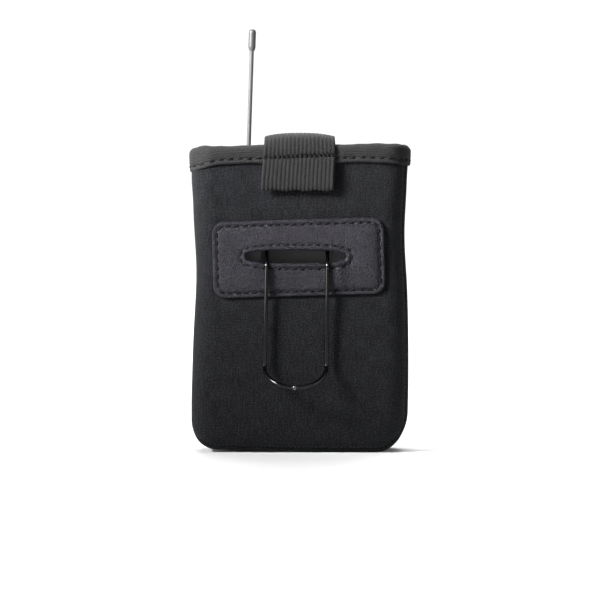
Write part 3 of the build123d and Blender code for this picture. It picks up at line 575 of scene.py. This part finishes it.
def edge_ring(turn, side):
    """Points and outward directions on the rounded edge.

    A turn of 0 is the face, a quarter turn the side wall. The side is -1 for the back, 1 for the front.
    """
    turn = turn * np.ones(len(OUTLINE))
    flat = OUTLINE - OUTWARD * (FACE_ROUND * (1 - np.sin(turn)))[:, None]
    y = side * (face_depth(flat[:, 1]) - EDGE_ROUND * (1 - np.cos(turn)))
    normals = np.stack([OUTWARD[:, 0] * np.sin(turn), side * np.cos(turn),
                        OUTWARD[:, 1] * np.sin(turn)], axis=1)
    return np.stack([flat[:, 0], y, flat[:, 1]], axis=1), normals


def panel_rings(side):
    """Rings from the seam in to the flat face, for the back (-1) or the front (+1) panel."""
    quarter = pi / 2
    if side < 0:
        return [edge_ring(SEAM_TURN * (1 - share), -1)
                for share in (0.0, 0.05, 0.11, 0.19, 0.30, 0.44, 0.6, 0.8, 1.0)]
    rings = [edge_ring(SEAM_TURN + (quarter - SEAM_TURN) * share, -1)
             for share in (0.0, 0.12, 0.3, 0.6)]
    (low, normals), (high, _) = edge_ring(quarter, -1), edge_ring(quarter, 1)
    rings += [(low + (high - low) * share, normals) for share in np.linspace(0, 1, 11)]
    rings += [edge_ring(quarter * (1 - share), 1)
              for share in (0.12, 0.25, 0.38, 0.5, 0.62, 0.75, 0.88, 1.0)]
    return rings


def filled(left, right, foot, top):
    """An even grid between four edges, row by row from the top."""
    u = np.linspace(0, 1, len(foot))[None, :, None]
    v = np.linspace(0, 1, len(left))[:, None, None]
    sides = left[:, None, :] * (1 - u) + right[:, None, :] * u
    ends = top[None, :, :] * (1 - v) + foot[None, :, :] * v
    corners = ((1 - u) * (1 - v) * top[0] + u * (1 - v) * top[-1]
               + (1 - u) * v * foot[0] + u * v * foot[-1])
    return sides + ends - corners


# ------------ slot, patch and what they do to the cloth

SLOT_X, SLOT_Z = -1.4, 69.5
SLOT_HALF_W, SLOT_RISE, SLOT_DROP = 17.6, 2.15, 2.35
# How square the slot's ends are: 2 would be an ellipse.
SLOT_POWER = 3.2
WIRE_RADIUS, LEG_INSET = 0.7, 0.9
LEG_X = (CLIP_WIRE[LOW][X] + LEG_INSET, CLIP_WIRE[HIGH][X] - LEG_INSET)
PATCH_X = (PATCH[LOW][X] + PATCH[HIGH][X]) / 2
PATCH_Z = (PATCH[LOW][Z] + PATCH[HIGH][Z]) / 2
PATCH_HALF_W, PATCH_HALF_H, PATCH_ROUND = 30.25, 13.45, 4.3
PATCH_TILT = 0.028
PATCH_FACE, PATCH_THICKNESS = -PATCH[LOW][Y], 1.1
PATCH_STITCH_INSET, SLOT_STITCH_OFFSET = 1.65, 2.0


def patch_inset(x, z):
    """Distance inside the patch's edge, negative outside."""
    dx, dz = x - PATCH_X, z - PATCH_Z
    u = dx * cos(PATCH_TILT) + dz * sin(PATCH_TILT)
    v = dz * cos(PATCH_TILT) - dx * sin(PATCH_TILT)
    over_u = np.abs(u) - (PATCH_HALF_W - PATCH_ROUND)
    over_v = np.abs(v) - (PATCH_HALF_H - PATCH_ROUND)
    outside = np.hypot(np.maximum(over_u, 0), np.maximum(over_v, 0))
    inside = np.minimum(np.maximum(over_u, over_v), 0)
    return PATCH_ROUND - outside - inside


def at_legs(x, spread):
    """1 at the clip's two legs."""
    return hump(x, LEG_X[0], spread) + hump(x, LEG_X[1], spread)


def slot_curve(offset, count):
    """The slot's edge, or a line this far outside it, starting at its right end."""
    turn = np.linspace(0, 2 * pi, 720, endpoint=False)
    c, s = np.cos(turn), np.sin(turn)
    up = np.where(s > 0, SLOT_RISE, SLOT_DROP)
    x = SLOT_X + (SLOT_HALF_W + offset) * np.sign(c) * np.abs(c) ** (2 / SLOT_POWER)
    z = SLOT_Z + (up + offset) * np.sign(s) * np.abs(s) ** (2 / SLOT_POWER)
    z -= 0.55 * at_legs(x, 1.5) * (s < 0) * exp(-offset / 0.8)
    return resample(np.stack([x, z], axis=1), count, closed=True)


def patch_curve(inset, count):
    """The patch's edge, or a line this far inside it, starting at its right end."""
    half_w, half_h = PATCH_HALF_W - inset, PATCH_HALF_H - inset
    radius = max(PATCH_ROUND - inset * 0.8, 1.6)
    points = [(half_w, 0.0)] + rounded_corners(-half_w, half_w, half_h, radius, 12)
    line = resample(points, count, closed=True)
    x = PATCH_X + line[:, 0] * cos(PATCH_TILT) - line[:, 1] * sin(PATCH_TILT)
    z = PATCH_Z + line[:, 0] * sin(PATCH_TILT) + line[:, 1] * cos(PATCH_TILT)
    return np.stack([x, z], axis=1)


def lip_push(x, z):
    """How far the clip presses out the edge below the slot."""
    below = smoothstep(SLOT_Z - z, 0.2, SLOT_DROP)
    fade = np.exp(-np.maximum(SLOT_Z - SLOT_DROP - z, 0) / 2.4)
    reach = 1 - smoothstep(np.abs(x - SLOT_X), 10.5, SLOT_HALF_W + 1.5)
    return below * fade * reach


def patch_bulge(x, z):
    """Unevenness of the sewn patch: the lip below the slot, swells beside the legs, slack at the ends."""
    lip = 0.75 * lip_push(x, z) * (1 - 0.6 * at_legs(x, 2.2))
    beside = (1.0 * hump(x, LEG_X[1] + 4.2, 3.4) * hump(z, 63.5, 4.0)
              + 0.35 * hump(x, LEG_X[0] - 4, 3.4) * hump(z, 63, 4))
    slack = (0.28 * ripple(x, z, 5) + 0.3 * hump(x, 22, 6) * hump(z, 68, 8)
             - 0.35 * hump(x, 17.5, 3) * hump(z, 66, 5))
    return lip + beside + slack * smoothstep(patch_inset(x, z), 1.6, 6.0)


def back_relief(x, z):
    """How far the back face stands out: swells, with dips at the patch and at the tape."""
    inset = patch_inset(x, z)
    swell = 0.35 * hump(x, 2, 26) * hump(z, 30, 24) + 0.16 * ripple(x, z, 11)
    pinch = -0.55 * np.exp(-np.abs(inset) / 1.4) - 0.3 * smoothstep(inset, 0, 1.5)
    tape = -0.4 * np.exp(-np.abs(z - BINDING[LOW][Z]) / 1.6)
    gathers = 0.14 * np.sin(x * 0.55 + 0.8) * hump(z, 97, 6)
    return swell * smoothstep(np.abs(inset), 0, 6) + pinch + tape + gathers + 0.5 * lip_push(x, z)


def front_relief(x, z):
    """Swells of the front face."""
    return 0.4 * hump(x, 0, 28) * hump(z, 40, 30) + 0.2 * ripple(x, z, 23)


# ------------ neoprene panels


def closed_sheet(name, outer, inner, faces, uvs):
    """A sheet with a thickness: its outer face, its inner face, and a rim along every open edge."""
    count = len(outer)
    used = dict.fromkeys((a, b) for face in faces for a, b in zip(face, face[1:] + face[:1]))
    rim = [[b, a, a + count, b + count] for a, b in used if (b, a) not in used]
    back = [[v + count for v in reversed(face)] for face in faces]
    return make_mesh(name, np.vstack([outer, inner]), faces + back + rim, np.vstack([uvs, uvs]))


def open_slot(outer, inner, faces):
    """Cuts the neoprene behind the patch's slot, a little wider than the slot, and rounds the cut.

    The cut is widest above the slot, where the wire swings.
    """
    half_w, rise, drop = SLOT_HALF_W + 0.9, SLOT_RISE + 1.65, SLOT_DROP + 0.8
    face_band = 2.5

    def reach(points):
        u = np.abs(points[:, X] - SLOT_X) / half_w
        v = np.abs(points[:, Z] - SLOT_Z) / np.where(points[:, Z] > SLOT_Z, rise, drop)
        return (u ** SLOT_POWER + v ** SLOT_POWER) ** (1 / SLOT_POWER)

    at_back = outer[:, Y] < -DEPTH + face_band
    share = reach(outer)
    cut = at_back & (share < 1)
    kept = [face for face in faces if not all(cut[v] for v in face)]
    shown = set(v for face in kept for v in face)
    for v in np.flatnonzero(cut):
        if v in shown:
            for points in (outer, inner):
                points[v, X] = SLOT_X + (points[v, X] - SLOT_X) / share[v]
                points[v, Z] = SLOT_Z + (points[v, Z] - SLOT_Z) / share[v]
    return kept


def neoprene_panel(name, side, relief_of):
    """One panel: rolled edge rings, then a grid over its flat face, as thick as the wall."""
    rings = panel_rings(side)
    count, last = len(OUTLINE), len(rings) - 1
    plain, normals = np.array([ring[0] for ring in rings]), np.array([ring[1] for ring in rings])
    steps = np.linalg.norm(np.diff(plain, axis=0), axis=2)
    travelled = np.vstack([np.zeros(count), np.cumsum(steps, axis=0)])
    dip = SEAM_DIP * np.exp(-travelled / SEAM_REACH)
    uvs = plain[last][None, :, [X, Z]] + OUTWARD[None] * (travelled[last] - travelled)[:, :, None]

    side_count = SIDE_ROWS + (CORNER_POINTS - 1) // 2
    edge = plain[last]
    left, right = edge[:side_count], edge[::-1][:side_count]
    foot = edge[side_count - 1:count - side_count + 1]
    top = np.linspace(left[0], right[0], len(foot))
    face = filled(left, right, foot, top)
    face[:, :, Y] = side * face_depth(face[:, :, Z])
    rows, cols = face.shape[:2]
    index = np.empty((rows, cols), int)
    inside = np.arange((rows - 1) * (cols - 2)).reshape(rows - 1, -1)
    index[:rows - 1, 1:cols - 1] = (last + 1) * count + inside
    index[:, 0] = last * count + np.arange(rows)
    index[:, -1] = last * count + count - 1 - np.arange(rows)
    index[-1, :] = last * count + side_count - 1 + np.arange(cols)
    grid = face[:rows - 1, 1:cols - 1].reshape(-1, 3)
    flat_normals = np.zeros_like(grid)
    flat_normals[:, Y] = side

    outer = np.vstack([(plain - normals * dip[:, :, None]).reshape(-1, 3), grid])
    inner = np.vstack([(plain - normals * WALL).reshape(-1, 3), grid - flat_normals * WALL])
    uvs = np.vstack([uvs.reshape(-1, 2), grid[:, [X, Z]]])
    faces = grid_faces(last + 1, count)
    for r in range(rows - 1):
        for c in range(cols - 1):
            faces.append([index[r, c], index[r + 1, c], index[r + 1, c + 1], index[r, c + 1]])
    if side < 0:
        faces = open_slot(outer, inner, faces)
    facing = smoothstep(side * outer[:, Y], 6, DEPTH - 0.6)
    outer[:, Y] += side * relief_of(outer[:, X], outer[:, Z]) * facing
    piece = closed_sheet(name, outer, inner, faces, uvs)
    recalculate_outward(piece)
    return piece


def neoprene_panels():
    """The back panel, and the front panel, which also makes the side walls and the foot."""
    back = neoprene_panel("neoprene_back", -1, back_relief)
    finish_piece(back, ROOT, NEOPRENE, "neoprene", "pouch_back_panel")
    front = neoprene_panel("neoprene_front", 1, front_relief)
    finish_piece(front, ROOT, NEOPRENE, "neoprene", "pouch_front_panel")


def seam_stitches():
    """A zigzag of thread that joins the two panels along both sides and the foot."""
    pitch, length, thread, swing = 1.5, 1.75, 0.24, 0.75
    line, normals = edge_ring(SEAM_TURN, -1)
    line = line - normals * (SEAM_DIP * 0.55)
    along = lengths_along(line)
    stitches = []
    for k, place in enumerate(np.arange(4.0, along[-1] - 9.0, pitch)):
        at, out = points_at(line, along, place), points_at(normals, along, place)
        ahead = points_at(line, along, place + 0.5) - at
        ahead /= np.linalg.norm(ahead)
        across = np.cross(ahead, out)
        lean = swing if k % 2 else -swing
        stitches.append((at, ahead * 0.7 + across * lean, out, length))
    piece = stitch_mesh("side_seam_thread", stitches, thread, 0.3)
    finish_piece(piece, ROOT, SEAM_THREAD, "neoprene")


# ------------ binding tape

# The stitches' height above the tape's lower edge, and a phase that keeps the waves of the tape's
# front half out of step with those of its back half.
BINDING_STITCH_RISE = 1.75
FRONT_PHASE = 2.4


def binding_top(x, front):
    """The height of the fold."""
    return (108.8 + 0.014 * x - 0.7 * smoothstep(np.abs(x), 35, 39.5) + 0.14 * np.sin(x * 0.31 + front)
            + 0.05 * np.sin(x * 0.93 + 2 + front))


def binding_low(x, front):
    """The height of the tape's lower edge, which droops at the corners."""
    droop = 2.9 * smoothstep(-x, 27, 39.5) + 1.3 * smoothstep(x, 29, 39.5)
    return 102.35 + 0.010 * x - droop + 0.16 * np.sin(x * 0.33 + 1.2 + front)


def mouth_line(count=232):
    """The mouth seen from above, on the neoprene's outer face, with directions out of it."""
    left, right = float(left_edge(RIM_Z)), float(right_edge(RIM_Z))
    line = resample(rounded_corners(left, right, MOUTH_DEPTH, FACE_ROUND, 24), count, closed=True)
    return line, loop_normals(line)


def binding_profile(low, high):
    """Section of the folded tape, as distance out of the neoprene's face and height.

    It goes up the outside, over the fold, down the inside and back along the neoprene. The number is how many
    of its points can be seen.
    """
    fold_w, fold_h = 2.42, 2.2
    middle, inside = -WALL / 2, -WALL - 0.02
    arch_z = high - fold_h
    outer = [(0.04, low + 0.1), (0.4, low - 0.04), (0.72, low + 0.2), (0.8, low + 0.7), (0.76, low + 1.2),
             (0.56, low + BINDING_STITCH_RISE), (0.78, low + 2.3), (0.92, low + 3.2)]
    arch = [(middle + fold_w * cos(pi * k / 14), arch_z + fold_h * sin(pi * k / 14)) for k in range(15)]
    inner = [(inside - 0.9, low + 3.2), (inside - 0.78, low + 2.3),
             (inside - 0.56, low + BINDING_STITCH_RISE), (inside - 0.76, low + 1.2),
             (inside - 0.7, low + 0.2), (inside - 0.35, low - 0.04), (inside, low + 0.2)]
    channel = [(inside, arch_z + 0.2), (inside + 0.6, arch_z + 1.2), (middle, arch_z + 1.5),
               (-0.6, arch_z + 1.2), (0.0, arch_z + 0.2)]
    return np.array(outer + arch + inner + channel), len(outer) + len(arch) + len(inner)


def binding():
    """Ribbed elastic tape folded over the rim and sewn through."""
    line, normals = mouth_line()
    profile_count, rib_height, wander_height = 132, 0.09, 0.07
    points, uvs = [], []
    around = loop_lengths(line)[:-1]
    for k, ((x, y), (nx, ny)) in enumerate(zip(line, normals)):
        front = FRONT_PHASE * (y > 0)
        low, high = float(binding_low(x, front)), float(binding_top(x, front))
        profile, shown = binding_profile(low, high)
        closed = np.vstack([profile, profile[:1]])
        along = lengths_along(closed)
        want = np.linspace(0, along[-1], profile_count, endpoint=False)
        section = points_at(closed, along, want)
        outside = 1 - smoothstep(want, along[shown - 1] - 1, along[shown - 1])
        ribs = rib_height * np.abs(np.sin(pi * want / TAPE_RIB)) * outside * smoothstep(want, 2.6, 3.4)
        wander = wander_height * sin(around[k] * 0.9) * np.sin(want * 0.8) * outside
        section = section + loop_normals(section) * (ribs + wander)[:, None]
        for (n, z), w in zip(section, want):
            points.append((x + nx * n, y + ny * n, z))
            uvs.append((around[k], w))
    piece = make_mesh("mouth_binding_tape", points,
                      grid_faces(len(line), profile_count, close_rows=True, close_cols=True), uvs)
    recalculate_outward(piece)
    finish_piece(piece, ROOT, BINDING_TAPE, "elastic_binding", "mouth_binding")


def binding_stitches():
    """Lock stitches through the tape, inside and out."""
    line, normals = mouth_line(1400)
    around = loop_lengths(line)
    stitches = []
    pitch = around[-1] / round(around[-1] / 3.3)
    for place in np.arange(0, around[-1] - 0.5, pitch):
        k = int(place / around[-1] * len(line))
        (x, y), (nx, ny) = line[k], normals[k]
        z = float(binding_low(x, FRONT_PHASE * (y > 0))) + BINDING_STITCH_RISE
        wobble = 0.12 * sin(place * 2.7)
        for n, facing in ((0.76, 1), (-WALL - 0.76, -1)):
            out = np.array([nx, ny, 0.0])
            stitches.append(((x + nx * n, y + ny * n, z + wobble), (-ny, nx, 0.10), out * facing, 2.2))
    piece = stitch_mesh("binding_thread", stitches, 0.8, 0.55)
    finish_piece(piece, ROOT, THREAD, "elastic_binding")


# ------------ slotted patch


def slot_patch():
    """A leather patch with a bound slot, sewn round its edge and round the slot."""
    count = 300
    # Distance in from the edge, or out from the slot, and depth under the patch's face.
    edge_profile = [(0.3, PATCH_THICKNESS), (0.04, PATCH_THICKNESS - 0.1), (0.0, 0.78), (0.04, 0.56),
                    (0.16, 0.4), (0.36, 0.31), (0.7, 0.28), (1.05, 0.34), (1.35, 0.5),
                    (PATCH_STITCH_INSET, 0.66), (1.95, 0.44), (2.3, 0.2), (2.8, 0.04), (3.6, -0.06)]
    slot_profile = [(4.2, -0.02), (3.3, 0.0), (2.7, 0.04), (2.35, 0.18), (SLOT_STITCH_OFFSET, 0.38),
                    (1.7, 0.16), (1.3, -0.06), (0.9, -0.14), (0.55, -0.08), (0.27, 0.1), (0.08, 0.36),
                    (0.0, 0.7), (0.08, PATCH_THICKNESS)]
    rings = [(patch_curve(inset, count), drop) for inset, drop in edge_profile]
    last, first = rings[-1][0], slot_curve(slot_profile[0][0], count)
    rings += [(last + (first - last) * share, -0.05) for share in (0.16, 0.32, 0.48, 0.64, 0.82)]
    rings += [(slot_curve(offset, count), drop) for offset, drop in slot_profile]
    points, uvs = [], []
    for line, drop in rings:
        bulge = patch_bulge(line[:, 0], line[:, 1]) * (drop < PATCH_THICKNESS - 0.2)
        y = -(PATCH_FACE - drop + bulge)
        points.append(np.stack([line[:, 0], y, line[:, 1]], axis=1))
        uvs.append(line)
    piece = make_mesh("slotted_patch", np.vstack(points),
                      grid_faces(len(rings), count, close_rows=True, close_cols=True), np.vstack(uvs))
    recalculate_outward(piece)
    finish_piece(piece, ROOT, LEATHER, "synthetic_leather", "clip_slot_patch")


def stitches_on_patch(line, pitch, drop, length):
    """Slanted lock stitches along a closed line on the patch."""
    dense = resample(line, 2400, closed=True)
    count = round(loop_lengths(dense)[-1] / pitch)
    made = []
    for k in range(count):
        j = int(k / count * len(dense))
        here, ahead = dense[j], dense[(j + 5) % len(dense)] - dense[j]
        ahead = ahead / hypot(*ahead)
        slant = 0.16 + 0.05 * sin(k * 1.9)
        direction = (ahead[0] - ahead[1] * slant, 0.0, ahead[1] + ahead[0] * slant)
        y = -(PATCH_FACE - drop + float(patch_bulge(here[0], here[1])))
        made.append(((here[0], y, here[1]), direction, (0, -1, 0), length * (1 + 0.06 * sin(k * 3.1))))
    return made


def patch_stitches():
    """The stitches round the patch's edge and round its slot."""
    stitches = stitches_on_patch(patch_curve(PATCH_STITCH_INSET, 600), 2.9, 0.46, 2.25)
    stitches += stitches_on_patch(slot_curve(SLOT_STITCH_OFFSET, 600), 2.75, 0.22, 2.1)
    piece = stitch_mesh("patch_thread", stitches, 0.82, 0.6)
    finish_piece(piece, ROOT, THREAD, "synthetic_leather")


# ------------ closure strap and its fastening

STRAP_X = (CLOSURE[LOW][X] + CLOSURE[HIGH][X]) / 2
STRAP_W = CLOSURE[HIGH][X] - CLOSURE[LOW][X]
STRAP_THICKNESS = 1.4
STRAP_RIBS = 18
# Where the strap is sewn to the binding.
STRAP_SEAM_Y, STRAP_SEAM_Z = -15.95, 104.9
# The loose end lies a little to the left of the top, and the seam across it isn't quite level.
STRAP_SKEW, SEAM_SLOPE = 0.8, 0.05


def strap_route():
    """The webbing's middle line from its loose end, over the mouth and down the front: depth and height."""
    front_y = CLOSURE[HIGH][Y] - 0.75
    return through([(-17.0, TAIL[LOW][Z] - 0.3), (-16.75, 96.0), (-16.2, 100.0), (-15.85, 103.0),
                    (-15.6, STRAP_SEAM_Z), (-15.7, 106.6), (-15.1, 108.9), (-13.4, 110.9), (-10.4, 112.0),
                    (-5.0, 112.5), (2.0, 112.5), (9.0, 112.1), (13.3, 110.9), (15.8, 108.4), (16.9, 104.6),
                    (front_y, 99.0), (front_y, 90.0), (front_y, 80.0), (front_y, CLOSURE[LOW][Z])], 124)


def strap_half_width(z, y):
    """The webbing narrows a little where it is stretched over the mouth."""
    return STRAP_W / 2 - 0.25 * smoothstep(z, 106, 112) + 0.15 * hump(z, 95, 4) * (y < 0)


def elastic_strap():
    """One length of ribbed webbing, sewn across the back of the mouth."""
    seam_press, seam_width, edge_share, end_fray = 0.62, 0.75, 0.965, 1.2
    route = strap_route()
    tangent = np.gradient(route, axis=0)
    tangent /= np.linalg.norm(tangent, axis=1)[:, None]
    outward = np.stack([-tangent[:, 1], tangent[:, 0]], axis=1)
    along = lengths_along(route)
    rising = len(route) // 2
    seam = along[np.argmin(np.abs(route[:rising, 1] - STRAP_SEAM_Z))]
    across_count = STRAP_RIBS * 6
    points, uvs = [], []
    for k in range(len(route)):
        half = float(strap_half_width(route[k][1], route[k][0]))
        fray = smoothstep(along[k], 0, end_fray) * smoothstep(along[-1] - along[k], 0, end_fray)
        crown = float(smoothstep(route[k][1], 107, 111.5))
        middle = STRAP_X + STRAP_SKEW * (float(smoothstep(along[k], 0, seam + 4)) - 0.5)
        for face, order in ((1, range(across_count + 1)), (-1, range(across_count, -1, -1))):
            for j in order:
                share = j / across_count
                side = 2 * share - 1
                rib = abs(sin(pi * STRAP_RIBS * share))
                from_seam = along[k] - seam - SEAM_SLOPE * side * half
                pressed = seam_press * exp(-(from_seam / seam_width) ** 2)
                edge = sqrt(min(1.0, max(0.0, (1 - abs(side)) / (1 - edge_share))))
                half_t = STRAP_THICKNESS / 2 * (0.42 + 0.58 * fray) - 0.12 * (1 - rib ** 0.8) - 0.2
                half_t = max(0.12, half_t * (0.35 + 0.65 * edge) - (pressed if face > 0 else 0.2 * pressed))
                cup = 0.35 * side ** 2 * hump(along[k], 4, 6) + crown * (0.2 - 1.25 * abs(side) ** 2.6)
                scallop = (0.32 * rib + 0.2 * sin(share * 23)) * (1 - smoothstep(along[k], 0, 0.9))
                y = route[k][0] + outward[k][0] * (face * half_t + cup) - tangent[k][0] * scallop
                z = route[k][1] + outward[k][1] * (face * half_t + cup) - tangent[k][1] * scallop
                points.append((middle + side * half, y, z))
                uvs.append((share * STRAP_W, along[k]))
    ring = 2 * (across_count + 1)
    faces = grid_faces(len(route), ring, close_cols=True)
    for end in (0, len(route) - 1):
        start = end * ring
        for j in range(across_count):
            faces.append([start + j, start + j + 1, start + ring - 2 - j, start + ring - 1 - j])
    piece = make_mesh("elastic_strap", points, faces, uvs)
    recalculate_outward(piece)
    piece.data.materials.append(WEBBING)
    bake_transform(piece)
    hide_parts("closure_strap", "strap_tail")


def strap_stitches():
    """Dense, uneven stitching that holds the strap to the binding."""
    rng = np.random.default_rng(4)
    stitches = []
    for row in (-0.45, 0.0, 0.45):
        x = STRAP_X - STRAP_W / 2 + 0.9
        while x < STRAP_X + STRAP_W / 2 - 0.6:
            length = 1.25 + 0.5 * rng.random()
            z = STRAP_SEAM_Z + row + 0.3 * (rng.random() - 0.5) + SEAM_SLOPE * (x - STRAP_X)
            direction = (1, 0, 0.55 * (rng.random() - 0.5))
            stitches.append(((x, STRAP_SEAM_Y, z), direction, (0, -1, 0), length))
            x += length * 1.05
    piece = stitch_mesh("strap_thread", stitches, 0.5, 0.35)
    finish_piece(piece, ROOT, THREAD, "elastic_webbing")


def fastening_tape(name, node, face, body):
    """A strip of hook or loop tape with an uneven pile on one face (+1 or -1 along Y)."""
    low, high = box(node)
    grain = 0.5
    cols = int((high[X] - low[X]) / grain)
    rows = int((high[Z] - low[Z]) / grain)
    rng = np.random.default_rng(len(name))
    x = np.linspace(low[X], high[X], cols)
    z = np.linspace(low[Z], high[Z], rows)
    gx, gz = np.meshgrid(x, z)
    border = np.minimum(np.minimum(gx - low[X], high[X] - gx), np.minimum(gz - low[Z], high[Z] - gz))
    pile = smoothstep(border, 0.2, 1.1)
    depth = high[Y] - low[Y]
    top = 0.35 * depth + pile * (0.45 + 0.2 * rng.random(gx.shape)) * depth
    base_y, sign = (low[Y], 1) if face > 0 else (high[Y], -1)
    outer = np.stack([gx, base_y + sign * top, gz], axis=2).reshape(-1, 3)
    inner = np.stack([gx, np.full_like(gx, base_y), gz], axis=2).reshape(-1, 3)
    piece = closed_sheet(name, outer, inner, grid_faces(rows, cols), outer[:, [X, Z]])
    recalculate_outward(piece)
    finish_piece(piece, body, PILE, "hook_and_loop", node)


# ------------ hard pieces


def weld_bead():
    """The little bead where the wire's ends are joined at the clip's tip."""
    x, y, z = -1.9, CLIP_WIRE[LOW][Y] + WIRE_RADIUS, CLIP_WIRE[LOW][Z] + WIRE_RADIUS
    half_length, radius = 1.0, 0.86
    rings, sides = 12, 20
    points = []
    for r in range(rings):
        polar = pi * (r + 0.5) / rings
        for s in range(sides):
            turn = 2 * pi * s / sides
            lump = 1 + 0.09 * sin(3 * turn + 1) * sin(polar) + 0.06 * cos(5 * turn + 2 * polar)
            points.append((x + half_length * cos(polar), y + radius * lump * sin(polar) * cos(turn),
                           z + radius * lump * sin(polar) * sin(turn)))
    faces = grid_faces(rings, sides, close_cols=True) + end_caps(rings, sides)
    piece = make_mesh("weld_bead", points, faces)
    recalculate_outward(piece)
    finish_piece(piece, CLIP, BEAD_METAL, "black_wire")


def finish_cad_nodes():
    """Gives each CAD node the finish of its material slot."""
    for part in frame["record"]["subparts"]:
        if part["material_slot"] in CAD_FINISHES:
            node = frame["nodes"][part["node"]]
            node.data.materials.clear()
            node.data.materials.append(CAD_FINISHES[part["material_slot"]])


neoprene_panels()
seam_stitches()
binding()
binding_stitches()
slot_patch()
patch_stitches()
elastic_strap()
strap_stitches()
fastening_tape("hook_strip", "hook_tape", -1, STRAP)
fastening_tape("loop_strip", "loop_tape", 1, ROOT)
weld_bead()
finish_cad_nodes()


# ------------ stage, light and camera


def stage():
    """A white round floor that curves up into a white wall on every side."""
    flat, bend, wall_z, sides = 1.75, 0.5, 2.4, 96
    profile = [(0.001, 0.0), (0.5, 0.0), (1.1, 0.0)]
    for step in range(17):
        turn = pi / 2 * step / 16
        profile.append((flat + bend * sin(turn), bend - bend * cos(turn)))
    profile.append((flat + bend, wall_z))
    points = [(radius * cos(2 * pi * s / sides) / MM, radius * sin(2 * pi * s / sides) / MM, height / MM)
              for radius, height in profile for s in range(sides)]
    floor = make_mesh("studio_floor", points, grid_faces(len(profile), sides, close_cols=True))
    white = Shader("studio_white", (0.8, 0.8, 0.8), 0.8, Specular_IOR_Level=0.0)
    floor.data.materials.append(white.material)


def area_light(name, place, target, size, power, spread=180):
    """A square soft light turned to a point; a smaller spread keeps its light to a narrower cone."""
    data = bpy.data.lights.new(name, "AREA")
    data.shape, data.size, data.energy, data.spread = "SQUARE", size, power, spread * pi / 180
    lamp = bpy.data.objects.new(name, data)
    bpy.context.scene.collection.objects.link(lamp)
    lamp.location = place
    aim = np.array(target) - np.array(place)
    lamp.rotation_euler = (atan2(hypot(aim[0], aim[1]), -aim[2]), 0, atan2(aim[1], aim[0]) - pi / 2)


def lights():
    """The studio's five lights, in metres and watts.

    A key from the upper left in front and a weak light low at the left shape the object. A large one
    above and behind whitens the floor, a small one the floor in front, and the last one the wall.
    """
    area_light("key_softbox", (-0.34, -0.21, 0.30), (-0.05, -0.02, 0.16), 0.14, 0.72, 38)
    area_light("side_softbox", (-0.50, -0.28, 0.10), (-0.02, -0.02, 0.08), 0.12, 0.12, 60)
    area_light("overhead_softbox", (0.0, 0.85, 1.5), (0.0, -0.1, 0.0), 1.3, 40)
    area_light("floor_softbox", (0.0, -0.62, 1.1), (0.0, -0.52, 0.0), 0.5, 0.6, 40)
    area_light("backdrop_softbox", (0.0, 0.95, 1.3), (0.0, 1.75, 0.10), 1.0, 11.5, 150)
    world = bpy.data.worlds.new("studio")
    bpy.context.scene.world = world
    world.use_nodes = True
    background = world.node_tree.nodes["Background"]
    background.inputs["Color"].default_value = (1, 1, 1, 1)
    background.inputs["Strength"].default_value = 0.04


def camera():
    """A long lens, straight at the clip side and two degrees above level."""
    view_w, view_mid_z, far, sensor_w = 0.2112, 0.0542, 1.2, 36
    lift = 2.0 * pi / 180
    front_y = CLOSURE[LOW][Y] * MM
    data = bpy.data.cameras.new("camera")
    data.sensor_width = sensor_w
    data.lens = sensor_w * far / view_w
    eye = bpy.data.objects.new("camera", data)
    bpy.context.scene.collection.objects.link(eye)
    eye.location = (0, front_y - far * cos(lift), view_mid_z + far * sin(lift))
    eye.rotation_euler = (pi / 2 - lift, 0, 0)
    bpy.context.scene.camera = eye
    bpy.context.scene.view_settings.view_transform = "Standard"


stage()
lights()
camera()
